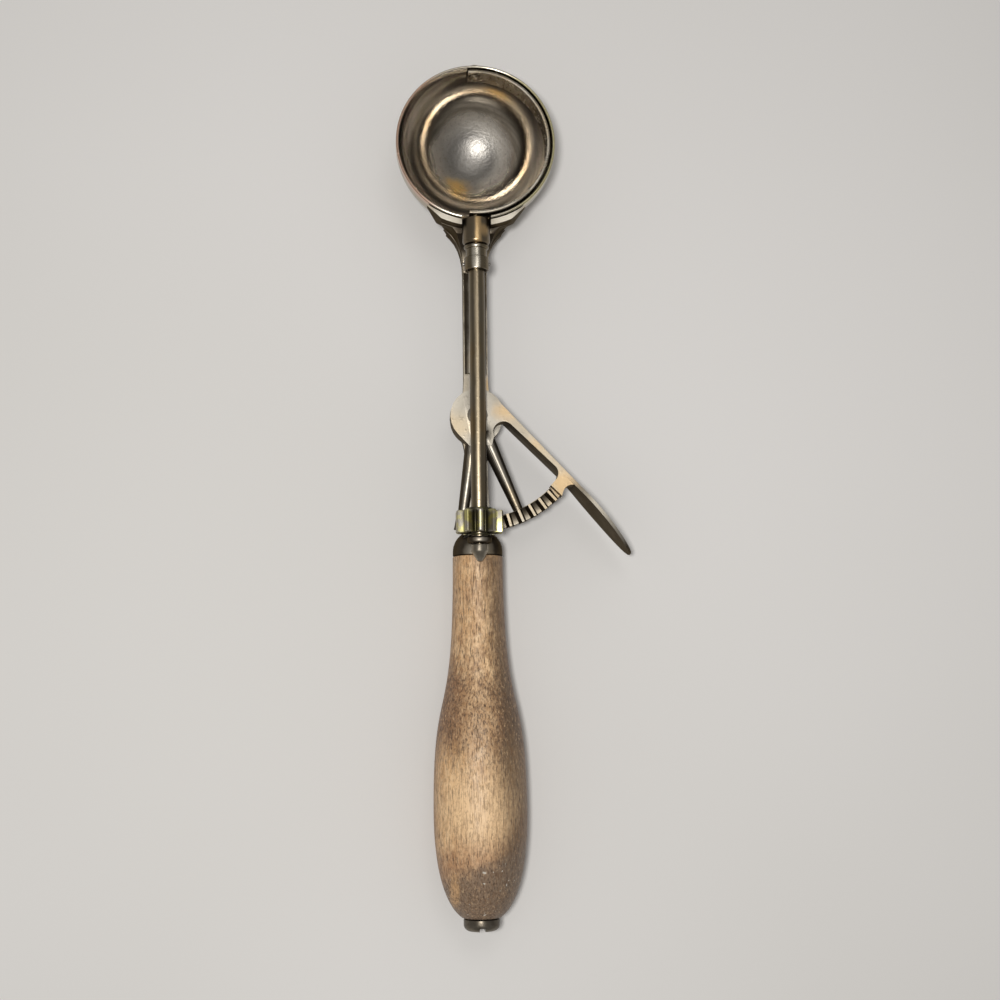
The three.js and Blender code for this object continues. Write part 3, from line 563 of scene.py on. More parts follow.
def nickel_plate(
    name, shine, dulling, along=(1, 1, 1), patches=(), side_shade=0.0,
    tints=(NICKEL, WARM_NICKEL), highlight_run=None,
):
    """Old nickel plate: cloudy tarnish, drawn scratches and patches of another colour, among them
    painted shade and painted highlights; a painted highlight run along the top of a round piece and, on
    castings, painted shade on the sides, which stay darker than the upper faces."""
    finish = Finish(name)
    tarnish = finish.ease(finish.clouds(9 * MM, detail=5, seed=1), 0.42, 0.68)
    specks = finish.ease(finish.clouds(0.9 * MM, detail=4, seed=2), 0.56, 0.72)
    drawn = finish.clouds(0.35 * MM, finish.stretched(along), detail=2, seed=3)
    warmth = finish.ease(finish.clouds(16 * MM, detail=3, seed=4), 0.4, 0.65)
    colour = finish.blend(warmth * 0.7, *tints)
    colour = finish.blend(tarnish * dulling, colour, DULL_NICKEL)
    colour = finish.blend(specks * 0.5 * dulling, colour, DULL_NICKEL)
    ragged = finish.clouds(3 * MM, detail=4, seed=5)
    for point, reach, strength, tint in patches:
        spread = finish.distance(point) + ragged * (0.8 * reach)
        patch = 1 - finish.ease(spread, 0.6 * reach, 1.5 * reach)
        colour = finish.blend(patch * strength, colour, tint)
    # Painted highlight: a bright run along the top of a round piece, where the lamp's reflection lies
    if highlight_run:
        aside, reach, tint = highlight_run
        across, _, up = finish.axes(SPINDLE_LINE)
        off_run = ((across - aside + (ragged - 0.5) * (0.8 * MM)) ** 2) ** 0.5
        run = (1 - finish.ease(off_run, 0.35 * reach, reach)) * finish.ease(up, 0 * MM, 1 * MM)
        colour = finish.blend(run * 0.95, colour, tint)
    roughness = shine + tarnish * 0.12 * dulling + specks * 0.15 * dulling + (drawn - 0.5) * 0.16
    edge_tint = EVEN_EDGE
    # Painted shade: faces that look away from up turn unevenly towards dark nickel, and grazing
    # reflections are tinted dark
    if side_shade:
        edge_tint = DARK_EDGE
        side = 1 - finish.ease(finish.looking_up() + (ragged - 0.5) * 0.2, 0.72, 0.95)
        side_shade_variation = finish.ease(finish.clouds(7 * MM, detail=6, roughness=0.65, seed=6), 0.5, 0.66)
        colour = finish.blend(side * side_shade * (1 - side_shade_variation * 0.12), colour, SHADE_AND_GRIME_NICKEL)
        roughness = roughness + side * 0.06
    relief = finish.bump(drawn * 0.5 + specks * 0.5, 0.03 * MM)
    sockets = {
        "Base Color": colour, "Roughness": roughness, "Metallic": 1.0, "Normal": relief,
        "Specular Tint": edge_tint,
    }
    return finish.done(sockets)


def bowl_nickel():
    """The bowl: a bottom dulled by use, walls polished by the scraper, brass and copper at the rim,
    painted reflected light on the shoulder and near the rim, a painted warm tint where the ring
    reflection falls and a painted gold glint.
    """
    finish = Finish("bowl nickel")
    across, along, up = finish.axes(off(BOWL_CENTRE, 0, 4.5, 0))
    spread = (across ** 2 + along ** 2) ** 0.5 / BOWL_RADIUS
    cloud = finish.clouds(6 * MM, detail=5, seed=1)
    speck = finish.clouds(0.9 * MM, detail=4, roughness=0.7, seed=2)
    spun = finish.clouds(0.8 * MM, finish.stretched((0.03, 0.03, 1)), detail=3, seed=4)
    polished = finish.ease(spread + (cloud - 0.5) * 0.16, 0.46, 0.62)
    warm = finish.ease(finish.clouds(10 * MM, detail=3, seed=3), 0.42, 0.62)
    # Painted reflected light: the shoulder round the bottom is brightened, more on the far side, and
    # the wall near the rim too; the belt between gets a painted warm tint where the ring reflection
    # falls
    far_side = finish.ease(across + along * 0.5 + (cloud - 0.5) * (14 * MM), -9 * MM, 5 * MM)
    inner = spread - far_side * 0.08
    shoulder = finish.ease(spread, 0.26, 0.42) * (1 - finish.ease(inner, 0.5, 0.6))
    belt = finish.ease(inner, 0.52, 0.62) * (1 - finish.ease(spread, 0.76, 0.86))
    upper = finish.ease(spread, 0.8, 0.9)
    colour = finish.blend(shoulder * (far_side * 0.7 + 0.3), BOWL_GREY, BOWL_PAINTED_LIGHT)
    colour = finish.blend(upper, colour, BOWL_PAINTED_LIGHT)
    colour = finish.blend(belt * (0.65 + warm * 0.35), colour, BOWL_WARM)
    # Painted highlight: a gold glint where the ring reflection crosses
    patch = finish.distance(off(BOWL_CENTRE, -5, -7, -22.8))
    gold_glint = 1 - finish.ease(patch + (cloud - 0.5) * (10 * MM), 1 * MM, 6 * MM)
    colour = finish.blend(gold_glint * 0.9, colour, GOLD_GLINT)
    cloudy = finish.distance(off(BOWL_CENTRE, 15, 18, -8)) + (cloud - 0.5) * (16 * MM)
    dull = (1 - finish.ease(cloudy, 4 * MM, 15 * MM)) * finish.ease(spread, 0.58, 0.68)
    colour = finish.blend(dull * 0.6, colour, DULL_NICKEL)
    spotted = finish.ease(speck, 0.5, 0.66)
    colour = finish.blend(spotted * 0.35, colour, DULL_NICKEL)
    lathe_marks = finish.ease(spun, 0.45, 0.6)
    colour = finish.blend(lathe_marks * polished * 0.35, colour, DULL_NICKEL)
    wall = BOWL_RADIUS - 0.55 * MM, BOWL_RADIUS - 0.25 * MM
    outside = finish.ease(finish.distance(BOWL_CENTRE), *wall)
    plated = finish.blend(warm * 0.7, NICKEL, WARM_NICKEL)
    plated = finish.blend(lathe_marks * 0.3 + spotted * 0.2, plated, DULL_NICKEL)
    colour = finish.blend(outside, colour, plated)
    rim = finish.ease(up, 0 * MM, 2.5 * MM)
    left = finish.ease(across * -1 + (cloud - 0.5) * (14 * MM), 8 * MM, 18 * MM)
    right = finish.ease(across + (cloud - 0.5) * (14 * MM), 8 * MM, 18 * MM)
    colour = finish.blend(rim * 0.7, colour, RIM_NICKEL)
    colour = finish.blend(rim * left * 0.55, colour, COPPER)
    colour = finish.blend(rim * right * 0.55, colour, GREEN_BRASS)
    roughness = 0.32 - polished * 0.27 + spotted * 0.05 + (cloud - 0.5) * 0.05
    roughness = roughness + dull * 0.1 + outside * 0.18
    relief = finish.bump(speck * (1 - polished * 0.75) + cloud * 0.25 + spun * 0.08, 0.1 * MM)
    sockets = {"Base Color": colour, "Roughness": roughness, "Metallic": 1.0, "Normal": relief}
    return finish.done(sockets)


def pinion_brass():
    """Brass with bright worn lands and dark grease in the gullets."""
    finish = Finish("pinion brass")
    across, _, up = finish.axes(SPINDLE_LINE)
    radius = (across ** 2 + up ** 2) ** 0.5
    cloud = finish.clouds(2.5 * MM, detail=4, seed=1)
    speck = finish.clouds(0.4 * MM, detail=3, seed=2)
    grime = 1 - finish.ease(radius + (cloud - 0.5) * (0.8 * MM), 5.2 * MM, 6.6 * MM)
    colour = finish.blend(finish.ease(cloud, 0.4, 0.6), NICKEL, GREEN_BRASS)
    colour = finish.blend(grime * 0.9, colour, GEAR_GREASE)
    roughness = 0.26 + speck * 0.14 + grime * 0.1
    relief = finish.bump(speck, 0.012 * MM)
    sockets = {"Base Color": colour, "Roughness": roughness, "Metallic": 1.0, "Normal": relief}
    return finish.done(sockets)


def drawn_steel():
    """Plain steel with dark stains, for the pins, the spring and the tie rod."""
    finish = Finish("drawn steel")
    cloud = finish.clouds(1.5 * MM, detail=4, seed=1)
    colour = finish.blend(finish.ease(cloud, 0.4, 0.7) * 0.6, STEEL, STEEL_STAIN)
    sockets = {"Base Color": colour, "Roughness": 0.26 + cloud * 0.2, "Metallic": 1.0}
    return finish.done(sockets)


def grip_wood():
    """Turned hardwood: fibres and pores along the grip, pale where hands wore it, brown between, with
    painted shade on the right side and underneath and a painted sheen along the top.
    """
    finish = Finish("worn grip wood")
    grip_top = Vector((GRIP_LINE.x, GRIP_TOP, GRIP_LINE.z))
    across, along, up = finish.axes(grip_top)

    def grain(size, draw, detail, roughness, seed):
        """Noise that is drawn out along the grip."""
        return finish.clouds(size * MM, finish.stretched((1, draw, 1)), detail, roughness, seed)

    drift = grain(13, 0.6, 5, 0.6, 1) - 0.5
    mottle = grain(1.7, 0.5, 5, 0.7, 2) - 0.5
    fibre = grain(0.5, 0.09, 4, 0.65, 3)
    pore = grain(0.28, 0.1, 2, 0.5, 4)
    grit = grain(0.7, 0.6, 3, 0.7, 5)
    ragged = drift * (34 * MM) + mottle * (30 * MM) - along
    low_edge = drift * (12 * MM) + mottle * (9 * MM) + across * 0.4 - along
    past_middle = finish.ease(ragged, 54 * MM, 68 * MM)
    middle_stain = finish.ease(ragged, 27 * MM, 43 * MM) * (1 - past_middle)
    # Painted sheen: a lighter run along the top of the grip, where the middle stain is lightened
    off_middle = ((across + 1 * MM) ** 2) ** 0.5 + drift * (5 * MM)
    top_sheen = (1 - finish.ease(off_middle, 1 * MM, 9 * MM)) * finish.ease(up, 0 * MM, 5 * MM)
    low_stain = finish.ease(low_edge, 82 * MM, 90 * MM)
    butt_stain = finish.ease(low_edge, 92 * MM, 97 * MM)
    # Painted shade: the grip turns darker towards its right side and its underside
    right_shade = finish.ease(across + drift * (18 * MM) + mottle * (8 * MM), 0 * MM, 8 * MM)
    under = 1 - finish.ease(up + drift * (6 * MM) + mottle * (4 * MM), 0 * MM, 8.5 * MM)
    colour = finish.blend(finish.ease(mottle, -0.14, 0.12), WOOD_PALE, WOOD_TAN)
    colour = finish.blend(finish.ease(drift, 0.02, 0.18) * 0.3, colour, WOOD_RED)
    colour = finish.blend(middle_stain * (0.85 - top_sheen * 0.5), colour, WOOD_BROWN)
    colour = finish.blend(low_stain * 0.5, colour, WOOD_RED)
    colour = finish.blend(right_shade * 0.8, colour, WOOD_GREY)
    colour = finish.blend(under * 0.6, colour, WOOD_BROWN)
    colour = finish.blend(butt_stain * 0.85, colour, WOOD_BUTT)
    palm = finish.distance(off(grip_top, -3, -78, 13))
    smooth = 1 - finish.ease(palm + drift * (12 * MM), 4 * MM, 17 * MM)
    colour = finish.blend(smooth * 0.8, colour, WOOD_PALE)
    streak = ((across + 8.5 * MM) * 2.5) ** 2 + ((along + 102 * MM) * 0.7) ** 2
    streak = streak ** 0.5 + mottle * (8 * MM)
    bared = (1 - finish.ease(streak, 2 * MM, 5 * MM)) * finish.ease(up, 0 * MM, 4 * MM)
    colour = finish.blend(bared * 0.8, colour, WOOD_TAN)
    stained = middle_stain * 0.35 + butt_stain * 0.1 + 0.3
    colour = finish.blend(finish.ease(grit, 0.5, 0.62) * stained, colour, WOOD_DARK)
    bleached = finish.ease(grit * -1, -0.44, -0.34)
    colour = finish.blend(bleached * stained * 0.7, colour, WOOD_PALE)
    dark_fibre = finish.ease(fibre, 0.45, 0.66)
    colour = finish.blend(dark_fibre * (0.6 - smooth * 0.15), colour, WOOD_GRAIN)
    open_pore = finish.ease(pore, 0.56, 0.67)
    colour = finish.blend(open_pore * (0.68 - smooth * 0.36), colour, WOOD_DARK)
    chips = finish.ease(finish.clouds(1.3 * MM, detail=2, seed=6), 0.67, 0.72) * butt_stain
    colour = finish.blend(chips * 0.8, colour, WOOD_CHIP)
    roughness = 0.44 + mottle * 0.2 + open_pore * 0.12
    relief = finish.bump(fibre * 0.6 + mottle * 0.5 - open_pore * 0.5, 0.2 * MM, 0.85)
    sockets = {"Base Color": colour, "Roughness": roughness, "Metallic": 0.0, "Normal": relief}
    return finish.done(sockets)


# Worn places, darker places, painted shade and painted highlights: a point, its reach, its strength and
# its colour
SIDES = (1, -1)
# Painted highlight: the yoke's top brightened towards pale nickel
YOKE_TOP_HIGHLIGHT = [(off(BOWL_CENTRE, 10 * side, -26, 3), 6 * MM, 1, RIM_NICKEL) for side in SIDES]
# Painted shade on the yoke's wall, the web's sides and the shank's top
YOKE_FOOT_SHADE = [
    (off(BOWL_CENTRE, aside, -run, -1.5), 4.2 * MM, 1, SHADE_AND_GRIME_NICKEL)
    for aside, run in ((-10.5, 27), (-6, 28.5), (6, 28.5), (10.5, 27))
]
WEB_SIDE_SHADE = [(off(BOWL_CENTRE, 8 * side, -28, -11), 8 * MM, 0.95, SHADE_AND_GRIME_NICKEL) for side in SIDES]
SHANK_TOP_SHADE = [(off(BOWL_CENTRE, 0, -run, -8), 8 * MM, 0.85, SHADE_AND_GRIME_NICKEL) for run in (40, 49, 58)]
BOSS_SIDE = (off(PIVOT, 5, 11, -2), 4 * MM, 0.8, BRASS_WEAR_AND_HIGHLIGHT)
# Darker round the bolster and at the end nut
BOLSTER_MIDDLE = Vector((GRIP_LINE.x, GRIP_TOP + 3 * MM, GRIP_LINE.z))
BOLSTER = (BOLSTER_MIDDLE, 8 * MM, 0.65, SHADE_AND_GRIME_NICKEL)
# Painted highlight: a brass-coloured patch on the sleeve's front
SLEEVE_GOLD_HIGHLIGHT = (off(middle("bearing_sleeve"), 2, 0, 4), 2.5 * MM, 0.9, BRASS_WEAR_AND_HIGHLIGHT)
BUTT = (Vector((GRIP_LINE.x, GRIP_END, GRIP_LINE.z)), 12 * MM, 0.95, SHADE_AND_GRIME_NICKEL)
LEVER_WEAR = [
    (off(PIVOT, 9, 1.5, 3), 5 * MM, 0.7, BRASS_WEAR_AND_HIGHLIGHT),
    (off(PIVOT, 27.5, -21.5, 3), 6.5 * MM, 0.75, BRASS_WEAR_AND_HIGHLIGHT),
    (off(PIVOT, 18, -9, 3), 4 * MM, 0.35, BRASS_WEAR_AND_HIGHLIGHT),
]

# Painted highlights along the tops of round pieces: how far aside, how wide and which colour
SLEEVE_HIGHLIGHT_RUN = (0.5 * MM, 1.4 * MM, BRASS_WEAR_AND_HIGHLIGHT)
ROD_HIGHLIGHT_RUN = (-0.3 * MM, 1 * MM, ROD_HIGHLIGHT)
COLLAR_HIGHLIGHT_RUN = (-0.3 * MM, 1.7 * MM, RIM_NICKEL)
# Painted shade: darkened nickel for the spindle, collar and sleeve
ROD_SHADED_TINTS = (ROD_SHADED_GREY, ROD_SHADED_WARM)
SLEEVE_SHADED_TINTS = (SLEEVE_SHADED_GREY, SLEEVE_SHADED_WARM)

BOWL_NICKEL = bowl_nickel()
FRAME_NICKEL = nickel_plate(
    "frame nickel", 0.36, 0.45, side_shade=0.96,
    patches=[*YOKE_TOP_HIGHLIGHT, BOSS_SIDE, BOLSTER, *YOKE_FOOT_SHADE, *WEB_SIDE_SHADE, *SHANK_TOP_SHADE],
)
SLEEVE_NICKEL = nickel_plate(
    "sleeve nickel", 0.3, 0.5, ALONG_SCOOP, [SLEEVE_GOLD_HIGHLIGHT], tints=SLEEVE_SHADED_TINTS, highlight_run=SLEEVE_HIGHLIGHT_RUN,
)
ROD_NICKEL = nickel_plate(
    "spindle nickel", 0.32, 0.45, ALONG_SCOOP, tints=ROD_SHADED_TINTS, highlight_run=ROD_HIGHLIGHT_RUN,
)
COLLAR_NICKEL = nickel_plate(
    "collar nickel", 0.27, 0.45, ROUND_SCOOP, tints=ROD_SHADED_TINTS, highlight_run=COLLAR_HIGHLIGHT_RUN,
)
RING_NICKEL = nickel_plate("scraper nickel", 0.22, 0.7, ROUND_SCOOP)
NUT_NICKEL = nickel_plate("nut nickel", 0.3, 1.0, patches=[BUTT])
LEVER_NICKEL = nickel_plate("lever nickel", 0.38, 0.35, side_shade=0.93, patches=LEVER_WEAR)
PINION_BRASS = pinion_brass()
PIN_STEEL = drawn_steel()
GRIP_WOOD = grip_wood()


# The bowl and its scraper

def sleeve_notch():
    """The block that opens the bowl and the yoke above the bearing sleeve."""
    play, floor = 0.25 * MM, 0.4 * MM
    side = half_width("bearing_sleeve") + play
    low = (SPINDLE_LINE.x - side, BOWL_CENTRE.y - 2 * BOWL_RADIUS, SPINDLE_LINE.z + floor)
    high = (SPINDLE_LINE.x + side, BOWL_CENTRE.y - BOWL_RADIUS / 2, SPINDLE_LINE.z + BOWL_RADIUS)
    return box_mesh(low, high)


def make_bowl():
    inner = BOWL_RADIUS - BOWL_WALL
    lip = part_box("bowl")[1].z - BOWL_CENTRE.z
    bead = (BOWL_RADIUS - BOWL_WALL / 2, lip - BOWL_BEAD)
    outline = [
        *round_arc(inner, -QUARTER, 0, BOWL_STEPS),
        *round_arc(BOWL_BEAD, math.pi, 0, BEAD_STEPS, bead),
        (BOWL_RADIUS, lip - 2.2 * BOWL_BEAD),
        *round_arc(BOWL_RADIUS, 0, -QUARTER, BOWL_STEPS),
    ]
    mesh = turned_mesh(outline, BOWL_NICKEL, BOWL_CENTRE, upright=True, sides=FINE_SIDES)
    piece = new_piece("bowl_shell", mesh)
    play = 0.3 * MM
    sleeve_gap = half_width("bearing_sleeve") + play
    near, far = BOWL_CENTRE.y - 2 * BOWL_RADIUS, BOWL_CENTRE.y + 2 * BOWL_RADIUS
    cut(
        piece,
        rod_mesh(sleeve_gap, BOWL_CENTRE.y - inner / 2, near, SPINDLE_LINE),
        sleeve_notch(),
        rod_mesh(RIVET_BORE, far, BOWL_CENTRE.y + inner / 2, SPINDLE_LINE, PIN_SIDES),
    )
    settle(piece, "bowl", "frame")


def make_blade():
    """Half a hoop that lies along the bowl's wall, with a rounded edge all round."""
    low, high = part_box("scraper_blade")
    outer = high.x - SPINDLE_LINE.x
    inner = outer - BLADE_WALL
    half = (high.z - low.z) / 2
    tab = SPINDLE_LINE.x - low.x
    overlap = math.asin(tab / outer)
    section = eased([
        (inner, 0), (inner, half), (outer, half), (outer, -half), (inner, -half), (inner, 0),
    ], BLADE_EDGE, steps=3)
    work = bmesh.new()
    loops = []
    for ring in range(BLADE_STEPS + 1):
        turn = -QUARTER - overlap + (math.pi + 2 * overlap) * ring / BLADE_STEPS
        loop = []
        for radius, height in section[:-1]:
            flat = math.sqrt(radius ** 2 - height ** 2)
            place = BOWL_CENTRE + Vector((flat * math.cos(turn), flat * math.sin(turn), height))
            loop.append(work.verts.new(place))
        loops.append(loop)
    count = len(loops[0])
    for before, after in zip(loops, loops[1:]):
        for point in range(count):
            step = (point + 1) % count
            work.faces.new((before[point], before[step], after[step], after[point]))
    work.faces.new(loops[0])
    work.faces.new(reversed(loops[-1]))
    mesh = bpy.data.meshes.new("scraper")
    work.to_mesh(mesh)
    work.free()
    coat(mesh, RING_NICKEL)
    tidy(mesh)
    piece = new_piece("scraper_hoop", mesh)
    tenon_gap = 1.8 * MM
    cut(
        piece,
        rod_mesh(tenon_gap, BOWL_CENTRE.y, BOWL_CENTRE.y - 2 * outer, SPINDLE_LINE, PIN_SIDES),
        rod_mesh(RIVET_BORE, BOWL_CENTRE.y + 2 * outer, BOWL_CENTRE.y, SPINDLE_LINE, PIN_SIDES),
    )
    settle(piece, "scraper_blade", "spindle_line")


def make_rivet():
    top, end = ends("blade_rivet")
    head = half_width("blade_rivet")
    shank, tail = 1.3 * MM, 1.9 * MM
    crown, upset = 0.9 * MM, 0.5 * MM
    outline = [
        (0, top), (0.6 * head, top - 0.15 * crown), (head, top - 0.7 * crown), (head, top - crown),
        (shank, top - crown), (shank, end + upset), (tail, end + upset), (tail, end + 0.6 * upset),
        (0.6 * tail, end + 0.1 * upset), (0, end),
    ]
    mesh = turned_mesh(eased(outline, FINE_EDGE), RING_NICKEL, SPINDLE_LINE, sides=PIN_SIDES)
    settle(new_piece("rivet", mesh), "blade_rivet", "frame")


# The spindle and what turns with it

def make_spindle():
    top, end = ends("spindle")
    radius = half_width("spindle")
    tenon, stub = 1.5 * MM, 1.5 * MM
    head, head_length = 2.2 * MM, 0.9 * MM
    bowl_reach, nut_gap = 24.3 * MM, 0.3 * MM
    shoulder = BOWL_CENTRE.y - bowl_reach
    seat = ends("tip_nut")[0] + nut_gap
    outline = [
        (0, top), (head, top - head_length / 2), (head, top - head_length), (tenon, top - head_length),
        (tenon, shoulder), (radius, shoulder), (radius, seat), (stub, seat), (stub, end), (0, end),
    ]
    mesh = turned_mesh(eased(outline, FINE_EDGE), ROD_NICKEL, SPINDLE_LINE)
    settle(new_piece("spindle_rod", mesh), "spindle", "spindle_line")


def make_sleeve():
    top, end = ends("bearing_sleeve")
    radius = half_width("bearing_sleeve")
    bore, waist = SPINDLE_BORE, (top + end) / 2
    cone, cone_length = 0.4 * MM, 0.8 * MM
    outline = [
        (bore, waist), (bore, top), (radius, top), (radius, end + cone_length),
        (radius - cone, end), (bore, end), (bore, waist),
    ]
    mesh = turned_mesh(eased(outline), SLEEVE_NICKEL, SPINDLE_LINE)
    settle(new_piece("sleeve", mesh), "bearing_sleeve", "frame")


def make_collar():
    top, end = ends("thrust_collar")
    radius = half_width("thrust_collar")
    bore, waist = SPINDLE_BORE, (top + end) / 2
    neck, bead = 3.3 * MM, 3.95 * MM
    top_edge, step_edge = 0.15 * MM, 0.35 * MM
    bead_length, neck_length = 1.3 * MM, 2.7 * MM
    shoulder = top - bead_length - neck_length
    bead_middle = (bead - bead_length / 2, top - bead_length / 2)
    upper = eased([(bore, waist), (bore, top), (neck, top)], top_edge)
    roll = round_arc(bead_length / 2, QUARTER, -QUARTER, BEAD_STEPS, bead_middle)
    lower = eased([
        (neck, top - bead_length), (neck, shoulder), (radius, shoulder), (radius, end),
        (bore, end), (bore, waist),
    ], step_edge)
    mesh = turned_mesh([*upper, *roll, *lower], COLLAR_NICKEL, SPINDLE_LINE)
    settle(new_piece("collar", mesh), "thrust_collar", "spindle_line")


def make_collar_pin():
    low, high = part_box("collar_pin")
    radius = (high.y - low.y) / 2
    half = half_width("collar_pin")
    outline = eased([(0, half), (radius, half), (radius, -half), (0, -half)])
    mesh = grown(TURNING, outline, {"Sides": PIN_SIDES, "Finish": PIN_STEEL})
    mesh.transform(Matrix.Rotation(QUARTER, 4, "Z"))
    mesh.transform(Matrix.Translation(middle("collar_pin")))
    tidy(mesh)
    settle(new_piece("collar_cross_pin", mesh), "collar_pin", "spindle_line")


def make_tip_nut():
    top, end = ends("tip_nut")
    radius = half_width("tip_nut")
    socket, nose = 1.8 * MM, 0.9 * MM
    barrel, socket_depth = 2.2 * MM, 2.9 * MM
    body = eased([
        (0, top - socket_depth), (socket, top - socket_depth), (socket, top), (radius, top),
        (radius, top - barrel), (nose, end + nose / 2),
    ])
    tip = [
        (nose * math.cos(turn), end + nose / 2 * (1 - math.sin(turn)))
        for turn in (0.4, 0.8, 1.2, QUARTER)
    ]
    mesh = turned_mesh([*body, *tip], NUT_NICKEL, SPINDLE_LINE)
    settle(new_piece("pointed_nut", mesh), "tip_nut", "spindle_line")


def make_washer():
    top, end = ends("thrust_washer")
    radius = half_width("thrust_washer")
    bore, waist = SPINDLE_BORE, (top + end) / 2
    edge = 0.15 * MM
    outline = [(bore, waist), (bore, top), (radius, top), (radius, end), (bore, end), (bore, waist)]
    mesh = turned_mesh(eased(outline, edge), PINION_BRASS, SPINDLE_LINE)
    settle(new_piece("washer", mesh), "thrust_washer", "frame")


def pinion_pitch(teeth, tip, root, land, base):
    """One tooth pitch in radius and turn: half a land, a leaning flank, a hollow gullet and back."""
    half = math.pi / teeth
    shoulder = tip - 0.12 * MM
    flank = (0.35 * tip + 0.65 * base, 0.45 * land + 0.55 * half * 0.5)
    half_tooth = [(tip, 0), (tip, 0.55 * land), (shoulder, land), flank]
    gullet_start, gullet_run, gullet_steps = 0.56, 0.44, 6
    gullet = []
    for step in range(gullet_steps + 1):
        share = step / gullet_steps
        turn = half * (gullet_start + gullet_run * share)
        gullet.append((root + (base - root) * (1 - share) ** 2, turn))
    rising = half_tooth + gullet
    falling = [(radius, 2 * half - turn) for radius, turn in reversed(rising)][1:-1]
    return rising + falling


def make_pinion():
    top, end = ends("pinion")
    low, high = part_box("pinion")
    tip, root, base = (high.z - low.z) / 2, 4.7 * MM, 5.9 * MM
    bore, hub, hub_length = SPINDLE_BORE, 4 * MM, 0.9 * MM
    face_top = top - hub_length
    edge, edge_lean = 0.3 * MM, 1.6
    teeth, land = 10, math.radians(5)
    pitch = pinion_pitch(teeth, tip, root, land, base)
    near_edge = 1 - edge / tip * edge_lean
    rows = [
        (0, face_top), (near_edge, face_top), (1, face_top - edge), (1, end + edge),
        (near_edge, end), (0, end), (0, face_top),
    ]
    values = {
        "Teeth": teeth, "Pitch Points": len(pitch), "Rows": len(rows), "Bore": bore,
        "Finish": PINION_BRASS,
    }
    wheel = grown(GEARING, pitch + rows, values)
    wheel.transform(Matrix.Translation((SPINDLE_LINE.x, 0, SPINDLE_LINE.z)))
    tidy(wheel)
    foot = face_top - edge
    ring = [(bore, face_top), (bore, top), (hub, top), (hub, foot), (bore, foot), (bore, face_top)]
    collar = turned_mesh(eased(ring, FINE_EDGE), PINION_BRASS, SPINDLE_LINE)
    settle(new_piece("pinion_wheel", joined_mesh(wheel, collar)), "pinion", "spindle_line")


# The frame, the lever and its pivot

def yoke_point(turn, radius):
    """A place in plan round the bowl, turned from the grip's side."""
    angle = math.radians(turn)
    return BOWL_CENTRE.x + radius * math.sin(angle), BOWL_CENTRE.y - radius * math.cos(angle)


def yoke_end_trim(side):
    """What the polisher took off one end of the yoke, so that its top edge runs out to a point."""
    first, last = side * 22, side * 38
    full, point = BOWL_RADIUS + 2.4 * MM, BOWL_RADIUS + 0.7 * MM
    clear = BOWL_RADIUS + 8 * MM
    plan = [
        yoke_point(first, full), yoke_point(last, point),
        yoke_point(last, clear), yoke_point(first, clear),
    ]
    return prism_mesh(plan, BOWL_CENTRE.z - 13 * MM, BOWL_CENTRE.z + 5 * MM)


def web_top_trim(side):
    """What lets the web lie lower than the yoke's top edge."""
    outer = BOWL_RADIUS + 2.05 * MM
    clear = BOWL_RADIUS + 9 * MM
    turns = (8, 12, 16, 20, 24)
    plan = [yoke_point(side * turn, outer) for turn in turns]
    plan += [yoke_point(side * turn, clear) for turn in reversed(turns)]
    return prism_mesh(plan, BOWL_CENTRE.z - 1.5 * MM, BOWL_CENTRE.z + 5 * MM)


def slant(tip, inward, slope):
    """A block that cuts from below: its outline runs inward and up from a tip, in millimetres."""
    half, upward = 6 * MM, Vector((0, 0, 1))
    mesh = prism_mesh([(run * MM, rise * MM) for run, rise in slope], -half, half)
    turn = Matrix((inward, upward, upward.cross(inward))).transposed().to_4x4()
    mesh.transform(Matrix.Translation(tip) @ turn)
    tidy(mesh)
    return mesh


def yoke_slant(side):
    """The slanting underside of one end of the yoke."""
    turn = 36.5
    x, y = yoke_point(side * turn, BOWL_RADIUS + 1 * MM)
    angle = math.radians(turn)
    inward = Vector((-side * math.cos(angle), -math.sin(angle), 0))
    slope = [(-0.6, 1.6), (8, -12.5), (8, -17), (-0.6, -17)]
    return slant(Vector((x, y, BOWL_CENTRE.z)), inward, slope)


def web_end_trim(side):
    """The slanting underside of one end of the web below the yoke."""
    tip = off(BOWL_CENTRE, side * 11.66, -23.91, -10.4)
    inward = Vector((side * -3.06, -1.99, 0)).normalized()
    slope = [(-0.45, 0.52), (4.5, -5.16), (4.5, -8), (-0.45, -8)]
    return slant(tip, inward, slope)


def make_castings():
    trims = [sleeve_notch()]
    for side in (-1, 1):
        trims += [yoke_end_trim(side), web_top_trim(side), yoke_slant(side), web_end_trim(side)]
    casting = dressed("frame_casting", FRAME_NICKEL, trims, SOFT_EDGE)
    settle(casting, "frame_casting", "frame")
    settle(dressed("thumb_lever", LEVER_NICKEL), "thumb_lever", "lever")


def make_screw():
    low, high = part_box("lever_pivot_screw")
    radius = half_width("lever_pivot_screw")
    top = high.z
    shank, head = 2 * MM, 1.1 * MM
    slot_width, slot_depth = 0.8 * MM, 0.5 * MM
    outline = [
        (0, top), (0.7 * radius, top - 0.1 * head), (radius, top - 0.45 * head),
        (radius, top - head), (shank, top - head), (shank, low.z), (0, low.z),
    ]
    flat = Vector((PIVOT.x, PIVOT.y, 0))
    mesh = turned_mesh(eased(outline, FINE_EDGE), NUT_NICKEL, flat, upright=True)
    piece = new_piece("pivot_screw", mesh)
    cut(piece, box_mesh(
        (PIVOT.x - slot_width / 2, PIVOT.y - 2 * radius, top - slot_depth),
        (PIVOT.x + slot_width / 2, PIVOT.y + 2 * radius, top + slot_depth),
    ))
    settle(piece, "lever_pivot_screw", "frame")


# The grip

